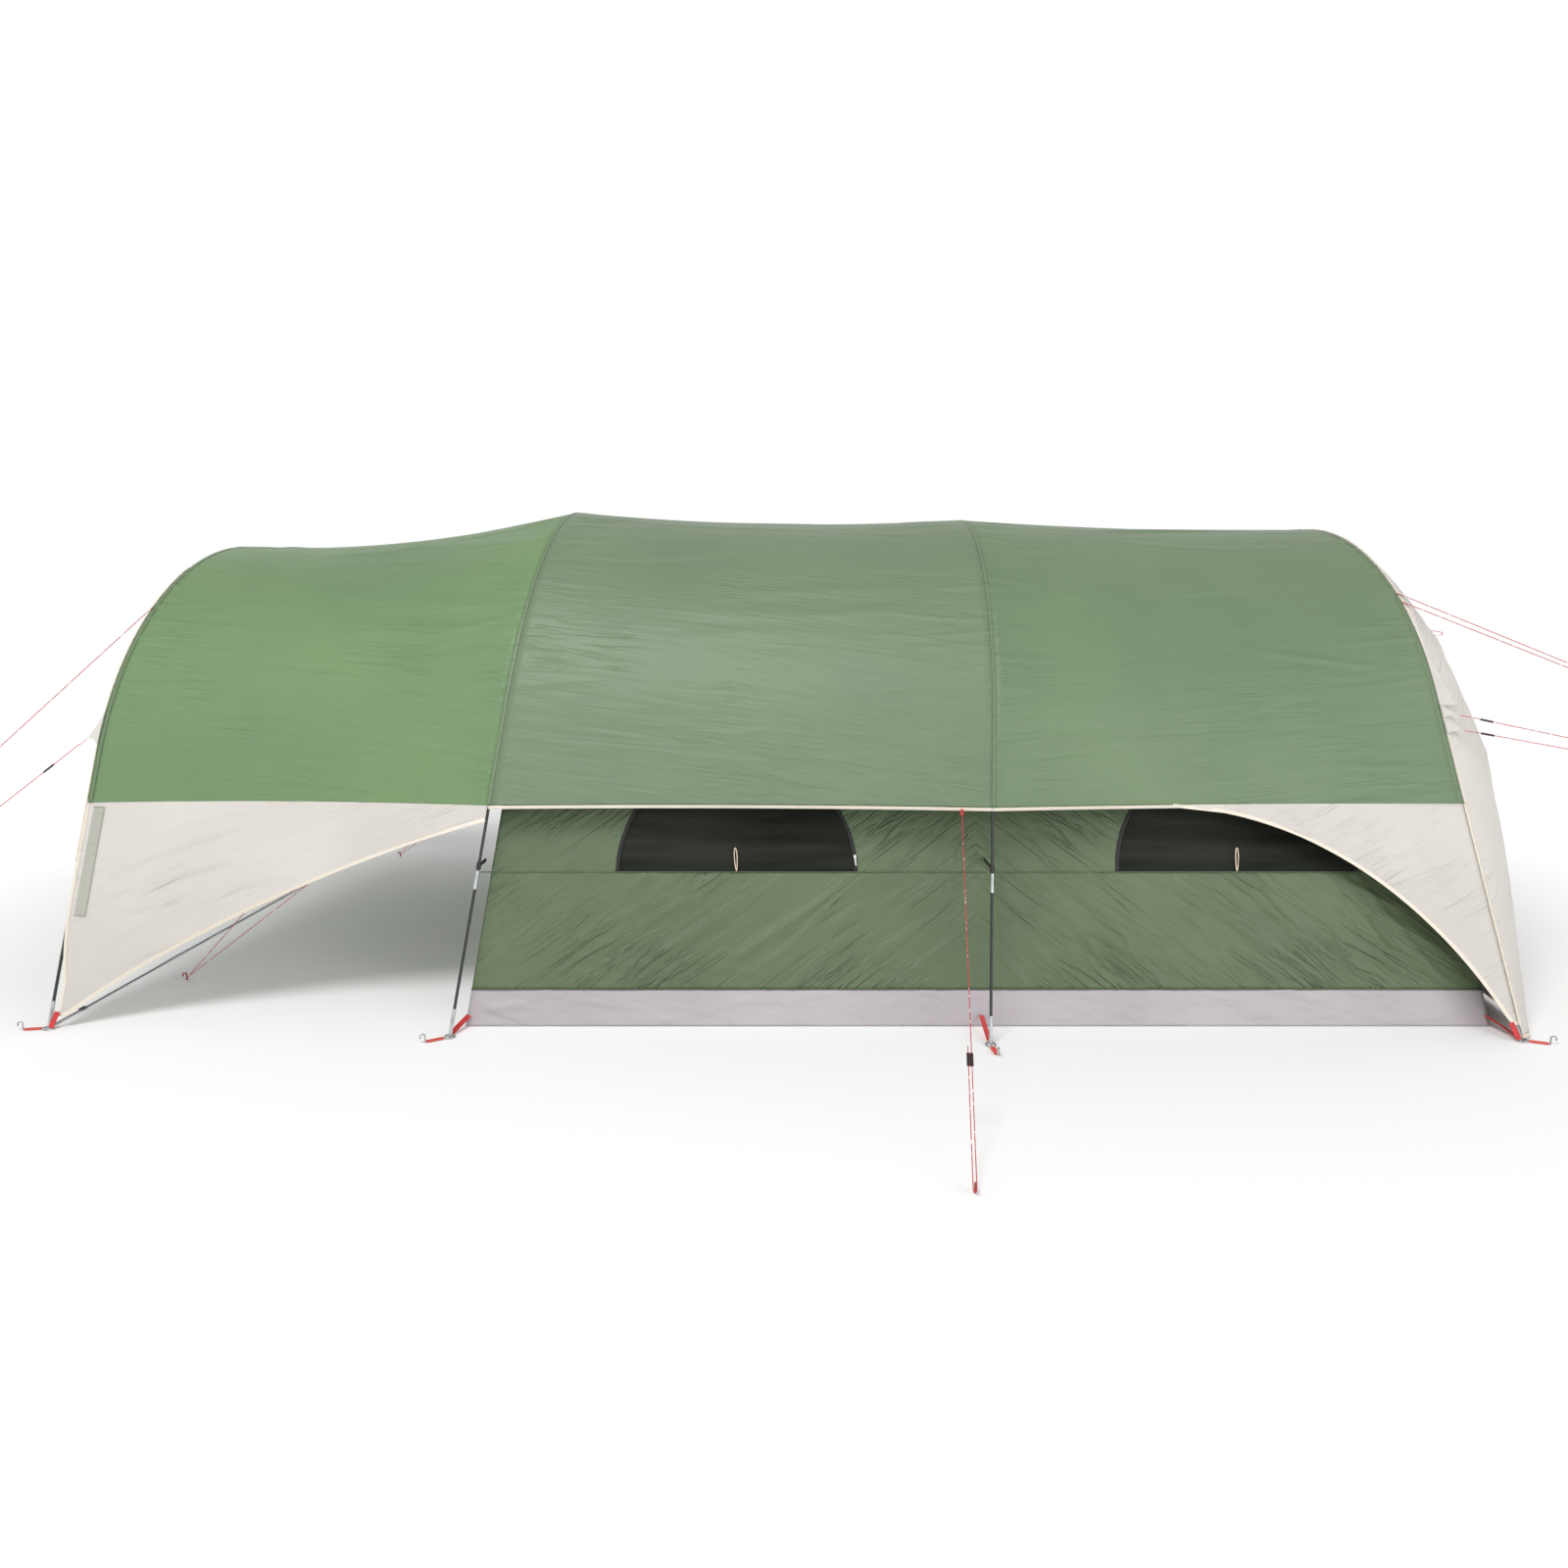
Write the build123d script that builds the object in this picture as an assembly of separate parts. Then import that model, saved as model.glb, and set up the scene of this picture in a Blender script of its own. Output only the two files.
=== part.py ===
from build123d import *
import os
from math import atan2, cos, degrees, hypot, radians, sin, sqrt, tan

# A tunnel tent: four leaning pole arches carry a fly sheet with an open porch at the front
# (-X) and a domed rear end (+X); a cabin with a bathtub floor hangs inside.  Millimetres,
# +Z up, Y = 0 is the mirror plane, z = 0 is the ground.

# arches, front to rear: foot position, half width at the ground, rise of the pole's centre
# line, forward-to-rear lean of the top, splay of the straight legs from upright
ARCHES = [
    dict(name="front", x=-2740.0, half=1450.0, rise=1833.0, lean=168.0, splay=17.0),
    dict(name="second", x=-1220.0, half=1530.0, rise=1990.0, lean=250.0, splay=19.0),
    dict(name="third", x=740.0, half=1600.0, rise=1955.0, lean=90.0, splay=19.0),
    dict(name="rear", x=2670.0, half=1560.0, rise=1912.0, lean=-180.0, splay=23.0),
]
CENTRE_X = 108.3  # middle of the tent's length, moved to the origin as each node is kept
BAY_SAG = [58.0, 34.0, 18.0]  # how far the cloth draws in between the poles of each bay

# poles
POLE_R = 5.5
POLE_BORE_R = 3.6
POLE_SECTIONS = 10
SECTION_GAP = 1.0
FERRULE_WALL = 1.0
FERRULE_R = POLE_R + FERRULE_WALL
FERRULE_LENGTH = 70.0
PRESS_GAP = 0.02
SHOCK_CORD_R = 1.5
TIP_LENGTH = 90.0
TIP_START = 11.0
TIP_SEAT = 24.0  # depth of the narrow bore that takes the pin
PIN_R = 3.2
RING_R = 18.0
RING_WIRE_R = 2.5

# fly sheet
CLOTH = 2.0
SLEEVE_EASE = 1.1  # room for a ferrule to pass along its sleeve
SLEEVE_BORE_R = FERRULE_R + SLEEVE_EASE
SLEEVE_CLOTH = 1.0
SLEEVE_COVER = 1.4  # sleeve to the cloth above it
FLY_GAP = SLEEVE_BORE_R + SLEEVE_CLOTH + SLEEVE_COVER  # pole centre line to the inner face of the fly
EAVE_Z = 815.0
TAPE_DROP = 13.0
TAPE_THICKNESS = 3.0
PORCH_EDGE_FRONT = (-2702.0, 52.0)  # lower edge of the porch side, as X and Z
PORCH_EDGE_MIDDLE = (-1880.0, 490.0)
PORCH_EDGE_BACK = (-1100.0, 772.0)
REAR_EDGE_FRONT = (1660.0, 790.0)
REAR_EDGE_MIDDLE = (2205.0, 558.0)
REAR_EDGE_BACK = (2640.0, 60.0)
REAR_BULGE = 430.0
DOME_RIM = 34.0  # least depth of the dome, at its crown
REAR_PANEL_Z = 18.0
PANEL_FOOT_Z = 30.0

# cabin
CABIN_HALF = 1430.0
CABIN_SPLAY = 19.0
CABIN_RISE = 1820.0
CABIN_INSET = 26.0  # cabin end walls stand this far inside their arch planes
SKIRT_HEIGHT = 128.0
FLOOR_THICKNESS = 3.0
WALL_TOP_Z = 1060.0
SEAM_GAP = 0.5
WINDOW_X = (-182.0, 1738.0)
WINDOW_BASE_Z = 548.0
WINDOW_R = 458.0
ZIP_WIDTH = 14.0
ZIP_THICKNESS = 2.5
SLIDER_START = 7.0  # degrees above the window's base line
SLIDER_SIZE = (14.0, 9.0, 5.0)
SLIDER_LIFT = 0.6
FLAP_ROLL_R = 22.0
LOOP_HEIGHT = 92.0
LOOP_WIDTH = 17.0
LOOP_CORD = 5.0
CLIP_ALONG = 618.0  # distance of the pole clips from the foot, along the leg

# cabin door, in the plane of the front wall
DOOR_Y = (-430.0, 430.0)
DOOR_BASE = 165.0
DOOR_HEIGHT = 1340.0
DOOR_CLEARANCE = 1.5

# webbing, pegs and cords
WEB_WIDTH = 20.0
GROUND_STRAP_WIDTH = 8.0
GROUND_STRAP_THICKNESS = 1.5
BUCKLE_BAR = 4.0
BUCKLE_HEIGHT = 4.0
BUCKLE_FROM_FOOT = 190.0
WEB_THICKNESS = 2.0
TAB_LENGTH = 62.0
PEG_R = 3.0
PEG_HEIGHT = 30.0
PEG_HOOK = 16.0
CORD_R = 1.5
STRAND_GAP = 10.0
RUNNER_SIZE = (42.0, 20.0, 7.0)
RUNNER_BORE_R = 1.9


def arch_shape(arch):
    """In-plane rise, arc radius and arc centre height of an arch."""
    slope = radians(arch["splay"])
    rise = hypot(arch["rise"], arch["lean"])
    radius = (arch["half"] * cos(slope) - rise * sin(slope)) / (1 - sin(slope))
    return rise, radius, rise - radius


def arch_plane(arch, shift=0.0):
    """Leaning plane of an arch: local x is world Y, local y runs up the lean."""
    return Plane(
        origin=(arch["x"] + shift, 0, 0), x_dir=(0, 1, 0), z_dir=(arch["rise"], 0, -arch["lean"])
    )


def leg_point(arch, offset, height):
    """Point of the near leg's line, set outward by offset, at a height in the arch plane."""
    slope = radians(arch["splay"])
    y = -arch["half"] - offset / cos(slope) + height * tan(slope)
    return Vector(y, height)


def arch_curve(arch, offset, height):
    """Leg, arc, leg set outward by offset, from a height on one leg to the same on the other."""
    slope = radians(arch["splay"])
    rise, radius, centre = arch_shape(arch)
    reach = radius + offset
    start = leg_point(arch, offset, height)
    bend = Vector(-reach * cos(slope), centre + reach * sin(slope))
    top = Vector(0, centre + reach)
    return [
        Edge.make_line(start, bend),
        Edge.make_three_point_arc(bend, top, Vector(-bend.X, bend.Y)),
        Edge.make_line(Vector(-bend.X, bend.Y), Vector(-start.X, start.Y)),
    ]


def arch_point(arch, along):
    """Point of the pole's centre line in the arch plane, by distance from the near foot."""
    slope = radians(arch["splay"])
    rise, radius, centre = arch_shape(arch)
    leg = (centre + radius * sin(slope)) / cos(slope)
    bow = radius * (radians(180) - 2 * slope)
    if along <= leg:
        return Vector(-arch["half"] + along * sin(slope), along * cos(slope))
    if along >= leg + bow:
        left = 2 * leg + bow - along
        return Vector(arch["half"] - left * sin(slope), left * cos(slope))
    angle = radians(180) - slope - (along - leg) / radius
    return Vector(radius * cos(angle), centre + radius * sin(angle))


def arch_length(arch):
    slope = radians(arch["splay"])
    rise, radius, centre = arch_shape(arch)
    return 2 * (centre + radius * sin(slope)) / cos(slope) + radius * (radians(180) - 2 * slope)


def arch_path(arch, start, end):
    """Wire along the pole's centre line between two distances from the near foot."""
    slope = radians(arch["splay"])
    rise, radius, centre = arch_shape(arch)
    leg = (centre + radius * sin(slope)) / cos(slope)
    far = arch_length(arch) - leg
    cuts = [start] + [cut for cut in (leg, far) if start < cut < end] + [end]
    edges = []
    for low, high in zip(cuts, cuts[1:]):
        middle = (low + high) / 2
        ends = (arch_point(arch, low), arch_point(arch, high))
        if leg < middle < far:
            edges.append(Edge.make_three_point_arc(ends[0], arch_point(arch, middle), ends[1]))
        else:
            edges.append(Edge.make_line(*ends))
    return arch_plane(arch) * Wire(edges)


def pipe(path, radius, bore=0.0):
    """Round bar or tube along a wire."""
    section = Circle(radius) - Circle(bore) if bore else Circle(radius)
    return sweep(Plane(origin=path @ 0, z_dir=path % 0) * section, path=path)


def mirrored(solids):
    """The near-side solids and their far-side twins."""
    return solids + [mirror(solid, about=Plane.XZ) for solid in solids]


def between(bay, share, sag):
    """Arch values part of the way across a bay, with the cloth's inward sag there."""
    front, back = ARCHES[bay], ARCHES[bay + 1]
    keys = ("x", "half", "rise", "lean", "splay")
    blend = {key: front[key] + (back[key] - front[key]) * share for key in keys}
    return blend, -sag * 4 * share * (1 - share)


def roof_bay(bay):
    """Thin cloth vault between two arches, from eave to eave."""
    sections = []
    for step in range(5):
        arch, inset = between(bay, step / 4, BAY_SAG[bay])
        inner = arch_curve(arch, FLY_GAP + inset, EAVE_Z)
        outer = arch_curve(arch, FLY_GAP + CLOTH + inset, EAVE_Z)
        caps = [Edge.make_line(inner[0] @ 0, outer[0] @ 0), Edge.make_line(inner[2] @ 1, outer[2] @ 1)]
        sections.append(arch_plane(arch) * Face(Wire(inner + outer + caps)))
    return loft(Sketch() + sections)


def side_strip(bay, low, high, gap, thickness):
    """Thin strip of the near side of a bay between two heights."""
    sections = []
    for step in range(5):
        arch, inset = between(bay, step / 4, BAY_SAG[bay])
        corners = [
            leg_point(arch, gap + inset, low),
            leg_point(arch, gap + inset, high),
            leg_point(arch, gap + thickness + inset, high),
            leg_point(arch, gap + thickness + inset, low),
        ]
        sections.append(arch_plane(arch) * Face(Wire.make_polygon(corners, close=True)))
    return loft(Sketch() + sections)


def eave_tape(bay):
    """Binding along the near eave of a bay."""
    return side_strip(bay, EAVE_Z - TAPE_DROP, EAVE_Z - SEAM_GAP, FLY_GAP, TAPE_THICKNESS)


def upright_prism(edges):
    """Region of the XZ plane, given by edges, run right across the near side."""
    face = Face(Wire(edges))
    return extrude(Plane.XZ * face, amount=3000, dir=(0, -1, 0))


def side_panel(bay, front, middle, back, stop_x):
    """Near side panel of the fly under the eave, with its hollow-curved lower edge."""
    strip = side_strip(bay, PANEL_FOOT_Z, EAVE_Z - SEAM_GAP, FLY_GAP, CLOTH)
    top = EAVE_Z + 200
    corners = [back, (stop_x[1], back[1]), (stop_x[1], top), (stop_x[0], top), (stop_x[0], front[1]), front]
    edges = [Edge.make_three_point_arc(front, middle, back)]
    edges += [Edge.make_line(a, b) for a, b in zip(corners, corners[1:]) if a != b]
    return strip & upright_prism(edges)


def arch_x(arch, z):
    return arch["x"] + arch["lean"] * z / arch["rise"]


def rear_dome():
    """Domed rear end of the fly, from horizontal half ellipses behind the rear arch."""
    arch = ARCHES[-1]
    rise, radius, centre = arch_shape(arch)
    stretch = rise / arch["rise"]
    slope = radians(arch["splay"])
    reach = radius + FLY_GAP + CLOTH
    bend = centre + reach * sin(slope)
    crown = (centre + reach) / stretch
    sections = []
    for share in (0.0, 0.12, 0.26, 0.42, 0.58, 0.73, 0.85, 0.94, 0.992):
        z = REAR_PANEL_Z + (crown - REAR_PANEL_Z) * share
        height = z * stretch
        width = -leg_point(arch, FLY_GAP + CLOTH, height).X
        if height > bend:
            width = sqrt(reach**2 - (height - centre) ** 2)
        bulge = REAR_BULGE * (0.28 + 0.72 * sin(radians(180 * min(1, share + 0.08)))) * (1 - share**6) + DOME_RIM
        outer = Edge.make_ellipse(width, bulge, start_angle=0, end_angle=180)
        inner = Edge.make_ellipse(width - CLOTH, bulge - CLOTH, start_angle=0, end_angle=180)
        caps = [Edge.make_line(outer @ 0, inner @ 0), Edge.make_line(outer @ 1, inner @ 1)]
        spot = Plane(origin=(arch_x(arch, z), 0, z), x_dir=(0, -1, 0), z_dir=(0, 0, 1))
        sections.append(spot * Face(Wire([outer, inner] + caps)))
    return loft(Sketch() + sections)


# ---- poles


def pole_sections(arch):
    length = arch_length(arch)
    start = TIP_START + TIP_SEAT
    pitch = (length - 2 * start) / POLE_SECTIONS
    return [
        pipe(arch_path(arch, start + pitch * i + SECTION_GAP / 2, start + pitch * (i + 1) - SECTION_GAP / 2),
             POLE_R, POLE_BORE_R)
        for i in range(POLE_SECTIONS)
    ]


def pole_ferrules(arch):
    length = arch_length(arch)
    start = TIP_START + TIP_SEAT
    pitch = (length - 2 * start) / POLE_SECTIONS
    solids = []
    for i in range(1, POLE_SECTIONS):
        middle = start + pitch * i
        path = arch_path(arch, middle - FERRULE_LENGTH / 2, middle + FERRULE_LENGTH / 2)
        solids.append(pipe(path, FERRULE_R, POLE_R + PRESS_GAP))
    return solids


def pole_tip(arch):
    """Steel end of a pole: a wide bore for the rod and a narrow one for the ground pin."""
    whole = pipe(arch_path(arch, TIP_START, TIP_START + TIP_LENGTH), FERRULE_R)
    rod = pipe(arch_path(arch, TIP_START + TIP_SEAT, TIP_START + TIP_LENGTH + 1), POLE_R + PRESS_GAP)
    pin = pipe(arch_path(arch, TIP_START - 1, TIP_START + TIP_SEAT + 1), POLE_BORE_R)
    return whole - rod - pin


def foot(arch):
    return Vector(arch["x"], -arch["half"], 0)


def ring_pin(arch):
    """Ground ring with the pin that stands in the pole's end."""
    centre = foot(arch) + Vector(0, 0, RING_WIRE_R)
    ring = Pos(*centre) * Torus(RING_R, RING_WIRE_R)
    bar = Pos(*centre) * Rot(90, 0, 0) * Cylinder(RING_WIRE_R, 2 * RING_R)
    path = arch_path(arch, RING_WIRE_R, TIP_START + TIP_SEAT - 3)
    return ring + bar + pipe(path, PIN_R)


def shock_cord(arch):
    margin = TIP_START + TIP_SEAT + 4
    return pipe(arch_path(arch, margin, arch_length(arch) - margin), SHOCK_CORD_R)


def sleeve(arch):
    """Cloth tube that holds the pole under the fly, from eave to eave."""
    start = (EAVE_Z + 6) / cos(radians(arch["splay"]))
    return pipe(arch_path(arch, start, arch_length(arch) - start), SLEEVE_BORE_R + SLEEVE_CLOTH, SLEEVE_BORE_R)


# ---- flat pieces


def strap(start, end, facing, width=WEB_WIDTH, thickness=WEB_THICKNESS):
    """Flat webbing between two points, its broad side turned to a direction."""
    start, end = Vector(*start), Vector(*end)
    run = end - start
    across = run.cross(Vector(*facing)).normalized()
    plane = Plane(origin=start, x_dir=across, z_dir=run.normalized())
    return extrude(plane * Rectangle(width, thickness), amount=run.length)


def slot_ring(plane, height, width, cord):
    """Flat oblong loop standing up from the plane's origin along its local y."""
    outer = Pos(0, height / 2) * RectangleRounded(width, height, width / 2 - 0.01)
    inner = Pos(0, height / 2) * RectangleRounded(
        width - 2 * cord, height - 2 * cord, width / 2 - cord - 0.01
    )
    return extrude(plane * (outer - inner), amount=CLOTH)


def hooked_peg(spot, turn):
    """Part of a steel peg above the ground: shank and hook turned to a heading in degrees."""
    path = FilletPolyline(
        (0, 0, 0), (0, 0, PEG_HEIGHT), (PEG_HOOK, 0, PEG_HEIGHT), (PEG_HOOK, 0, PEG_HEIGHT - 14), radius=6
    )
    return Pos(spot[0], spot[1], 0) * Rot(0, 0, turn) * pipe(path, PEG_R)


def heading(arch):
    """Outward direction of the peg tab at a near foot, in degrees about Z."""
    return {"front": 188.0, "second": 211.0, "third": 275.0, "rear": 338.0}[arch["name"]]


def out_from(arch, distance, height=0.0):
    angle = radians(heading(arch))
    return foot(arch) + Vector(distance * cos(angle), distance * sin(angle), height)


def peg_tab(arch):
    start = out_from(arch, RING_R + RING_WIRE_R + 1, 2.5)
    end = out_from(arch, RING_R + RING_WIRE_R + TAB_LENGTH, 2.5)
    return strap(start, end, (0, 0, 1))


def foot_peg(arch):
    spot = out_from(arch, RING_R + RING_WIRE_R + TAB_LENGTH + PEG_R + 1)
    return hooked_peg((spot.X, spot.Y), heading(arch))


# ---- cabin


def cabin_profile(shrink, low):
    """Face in the YZ plane of the cabin's section, drawn in by shrink, above a height."""
    arch = dict(half=CABIN_HALF, rise=CABIN_RISE, lean=0.0, splay=CABIN_SPLAY)
    edges = arch_curve(arch, -shrink, low)
    edges.append(Edge.make_line(edges[2] @ 1, edges[0] @ 0))
    return Plane.YZ * Face(Wire(edges))


def cabin_run(face):
    return extrude(Pos(-3500, 0, 0) * face, amount=7000, dir=(1, 0, 0))


def between_ends(inset):
    """Block between the cabin's two leaning end planes, each drawn in by inset."""
    front, back = ARCHES[1], ARCHES[3]
    top = 2200.0
    x0 = front["x"] + CABIN_INSET + inset
    x1 = back["x"] - CABIN_INSET - inset
    corners = [
        (x0, 0),
        (x1, 0),
        (x1 + back["lean"] * top / back["rise"], top),
        (x0 + front["lean"] * top / front["rise"], top),
    ]
    face = Face(Wire.make_polygon([Vector(*c) for c in corners], close=True))
    return extrude(Plane.XZ * face, amount=2000, both=True)


def block_above(z, height=4000):
    return Pos(0, 0, z + height / 2) * Box(9000, 9000, height)


def cabin_floor():
    skin = FLOOR_THICKNESS
    outer = cabin_run(cabin_profile(0, 0)) & between_ends(0)
    hollow = cabin_run(cabin_profile(skin, 0)) & between_ends(skin)
    return (outer - block_above(SKIRT_HEIGHT)) - (hollow & block_above(skin))


def cabin_shell():
    """Whole cloth envelope of the cabin above the skirt, open at both ends."""
    face = cabin_profile(0, 0) - cabin_profile(CLOTH, -10)
    return (cabin_run(face) & between_ends(0)) & block_above(SKIRT_HEIGHT + SEAM_GAP)


def window_plane(x, z_local=0.0):
    """Plane on the outside of the near wall at a window's base centre, facing out."""
    slope = radians(CABIN_SPLAY)
    y = -CABIN_HALF + WINDOW_BASE_Z * tan(slope)
    return Plane(origin=(x, y, WINDOW_BASE_Z), x_dir=(1, 0, 0), z_dir=(0, -cos(slope), sin(slope))).offset(z_local)


def half_disc(radius, base=0.0):
    return Circle(radius) & Pos(0, base + radius) * Rectangle(3 * radius, 2 * radius)


def window_hole(x):
    return extrude(window_plane(x) * half_disc(WINDOW_R), amount=60, both=True)


def cabin_walls():
    shell = cabin_shell()
    ends = between_ends(CLOTH + SEAM_GAP)
    roof = shell & block_above(WALL_TOP_Z + SEAM_GAP) & ends
    sides = (shell - block_above(WALL_TOP_Z)) & ends
    for x in WINDOW_X:
        sides -= window_hole(x)
        sides -= mirror(window_hole(x), about=Plane.XZ)
    near = sides & Pos(0, -3000, 0) * Box(9000, 6000, 9000)
    return near, mirror(near, about=Plane.XZ), roof


def window_mesh(x):
    plane = window_plane(x, -CLOTH)
    return extrude(plane * half_disc(WINDOW_R - SEAM_GAP, SEAM_GAP), amount=CLOTH)


def window_zip(x):
    """Curved zip chain on the outside, over the seam between wall and mesh."""
    ring = Circle(WINDOW_R + ZIP_WIDTH / 2) - Circle(WINDOW_R - ZIP_WIDTH / 2)
    half = ring & Pos(0, WINDOW_R) * Rectangle(4 * WINDOW_R, 2 * WINDOW_R)
    return extrude(window_plane(x, 0.05) * half, amount=ZIP_THICKNESS)


def window_slider(x):
    """Zip slider with its pull, on the chain near the window's rear corner."""
    length, width, height = SLIDER_SIZE
    plane = window_plane(x, ZIP_THICKNESS + 0.05 + SLIDER_LIFT)
    body = extrude(plane * Rot(0, 0, SLIDER_START) * Pos(WINDOW_R, 0) * Rectangle(width, length), amount=height)
    eye = plane * Rot(0, 0, SLIDER_START) * Pos(WINDOW_R, -length / 2 - 13)
    pull = extrude(eye * RectangleRounded(6, 28, 2.5), amount=1.5)
    return body + pull


def window_loop(x):
    plane = window_plane(x, ZIP_THICKNESS + 1)
    return slot_ring(plane, LOOP_HEIGHT, LOOP_WIDTH, LOOP_CORD)


def flap_roll(x):
    """Storm flap of a window, rolled down along the inside of its base."""
    plane = window_plane(x, -CLOTH - FLAP_ROLL_R - 3)
    along = plane * Pos(0, -FLAP_ROLL_R - 4) * Rot(0, 90, 0)
    return along * Cylinder(FLAP_ROLL_R, 2 * WINDOW_R - 60)


def door_outline(grow):
    """Door shape in the front wall's plane: upright sides and a round head."""
    low, high = DOOR_Y[0] - grow, DOOR_Y[1] + grow
    base = DOOR_BASE - grow
    radius = (high - low) / 2
    shoulder = base + DOOR_HEIGHT + 2 * grow - radius
    edges = [
        Edge.make_line((low, base), (high, base)),
        Edge.make_line((high, base), (high, shoulder)),
        Edge.make_three_point_arc((high, shoulder), (0.5 * (low + high), shoulder + radius), (low, shoulder)),
        Edge.make_line((low, shoulder), (low, base)),
    ]
    return Face(Wire(edges))


def front_wall_plane(depth=0.0):
    arch = ARCHES[1]
    return arch_plane(arch, CABIN_INSET).offset(depth)


def cabin_front():
    """Front wall in four panels: beside, above and below the doorway, sewn along upright seams."""
    inside = cabin_run(cabin_profile(CLOTH + SEAM_GAP, SKIRT_HEIGHT + SEAM_GAP))
    sheet = extrude(front_wall_plane() * Rectangle(6000, 6000), amount=CLOTH) & inside
    seams = Pos(DOOR_Y[0] - SEAM_GAP / 2, 0) * Rectangle(SEAM_GAP, 6000) + Pos(DOOR_Y[1] + SEAM_GAP / 2, 0) * Rectangle(SEAM_GAP, 6000)
    plane = front_wall_plane(-20)
    panels = sheet - extrude(plane * (door_outline(0) + seams), amount=40, dir=plane.z_dir)
    return Compound(panels.solids())


def cabin_rear():
    arch = ARCHES[3]
    inside = cabin_run(cabin_profile(CLOTH + SEAM_GAP, SKIRT_HEIGHT + SEAM_GAP))
    return extrude(arch_plane(arch, -CABIN_INSET) * Rectangle(6000, 6000), amount=-CLOTH) & inside


def door_panel():
    plane = front_wall_plane()
    return extrude(plane * door_outline(-DOOR_CLEARANCE), amount=CLOTH, dir=plane.z_dir)


def door_zip():
    """Zip chain round the door's free sides, on the outside of the wall beside the door."""
    band = door_outline(1 + ZIP_WIDTH) - door_outline(1)
    free = band - Pos(DOOR_Y[0] - 50, 0) * Rectangle(100 + 4 * DOOR_CLEARANCE, 6000)
    plane = front_wall_plane(-0.05)
    return extrude(plane * free, amount=ZIP_THICKNESS, dir=-plane.z_dir)


def door_slider():
    length, width, height = SLIDER_SIZE
    plane = front_wall_plane(-ZIP_THICKNESS - 0.05 - SLIDER_LIFT)
    spot = plane * Pos(DOOR_Y[1] + 1 + ZIP_WIDTH / 2, DOOR_BASE + 60)
    body = extrude(spot * Rectangle(width, length), amount=-height)
    pull = extrude(spot * Pos(0, -length / 2 - 13) * RectangleRounded(6, 28, 2.5), amount=-1.5)
    return body + pull


def pole_clip(arch):
    """Plastic C clip on the leg above the first ferrule, with its strap to the cabin wall."""
    path = arch_path(arch, CLIP_ALONG, CLIP_ALONG + 26)
    clip = pipe(path, POLE_R + 3.6, POLE_R + 0.3)
    centre = path @ 0.5
    wall_y = -CABIN_HALF + centre.Z * tan(radians(CABIN_SPLAY))
    start = Vector(centre.X, centre.Y + POLE_R + 4, centre.Z)
    end = Vector(centre.X, wall_y - 4, centre.Z)
    return clip + strap(start, end, (1, 0, 0), width=14)


# ---- webbing at the feet


def floor_web(arch):
    """Red strap from the ground ring to the floor's edge."""
    start = foot(arch) + Vector(0, RING_R + RING_WIRE_R + 4, 6)
    edge = -CABIN_HALF + 40 * tan(radians(CABIN_SPLAY))
    x = min(max(arch["x"], ARCHES[1]["x"] + CABIN_INSET + 14), ARCHES[3]["x"] - CABIN_INSET - 14)
    return strap(start, (x, edge - 6, 40), (0.3, -0.4, 1))


def corner_web(arch):
    """Red strap from the ground ring up to the fly's corner."""
    side = 1 if arch["x"] < 0 else -1
    plane = arch_plane(arch)
    low, high = leg_point(arch, FLY_GAP + CLOTH + 2, 9), leg_point(arch, FLY_GAP + CLOTH + 2, 66)
    start = plane.from_local_coords(Vector(low.X, low.Y, side * 16))
    end = plane.from_local_coords(Vector(high.X, high.Y, side * 30))
    return strap(start, end, (0, -1, 0.3))


def ground_strap():
    reach = ARCHES[0]["half"] - RING_R - RING_WIRE_R - 1
    x = ARCHES[0]["x"]
    lift = GROUND_STRAP_THICKNESS
    return strap((x, -reach, lift), (x, reach, lift), (0, 0, 1), GROUND_STRAP_WIDTH, GROUND_STRAP_THICKNESS)


def strap_buckle():
    """Ladder buckle on the ground strap near its end."""
    slot = GROUND_STRAP_WIDTH + 1
    bottom = 1.5 * GROUND_STRAP_THICKNESS + SEAM_GAP
    spot = Pos(ARCHES[0]["x"], -ARCHES[0]["half"] + BUCKLE_FROM_FOOT, bottom + BUCKLE_HEIGHT / 2)
    frame = spot * Box(slot + 2 * BUCKLE_BAR, 2 * slot + 3 * BUCKLE_BAR, BUCKLE_HEIGHT)
    for side in (-1, 1):
        frame -= spot * Pos(0, side * (slot + BUCKLE_BAR) / 2) * Box(slot, slot, 2 * BUCKLE_HEIGHT)
    return frame


# ---- guy lines, as hand-set routes from a webbing loop to a peg or to an end loop

PEG_FRONT_UPPER = (-3881.0, -1729.0)
PEG_FRONT_LOWER = (-3801.0, -1759.0)
PEG_MIDDLE = (509.0, -2547.0)
PEG_PORCH_NEAR = (-2520.0, -937.0)
PEG_PORCH_FAR = (-2450.0, 1300.0)
FRONT_GUYS = (1710.0, 1140.0)  # distances of the guy points along their arches
REAR_GUYS = (1795.0, 1745.0, 1250.0, 1185.0)
PORCH_GUYS = (1815.0, 1140.0)
EAVE_GUY_X = 662.0
GUY_LOOP = 30.0
GUY_WIDTH = 14.0
GUY_CORD = 4.5
LOOP_FOOT = 3.0
STRAND_BEND = 4.8
MIDDLE_RUNNER_SHARE = 0.72  # places of the runners along their first strands
FRONT_RUNNER_SHARE = 0.085
REAR_RUNNER_SHARE = (0.16, 0.13)
GUSSET_REACH = 62.0
GUSSET_FOOT = 4.0
GUSSET_HALF = (64.0, 29.0)  # half length along the arch, front and rear
REAR_HOLD = (3770.0, -1810.0, 870.0)  # what the rear lines are drawn towards, well off the tent
BRIDLE_TIP = (3235.0, 0.0, 1432.0)
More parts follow.
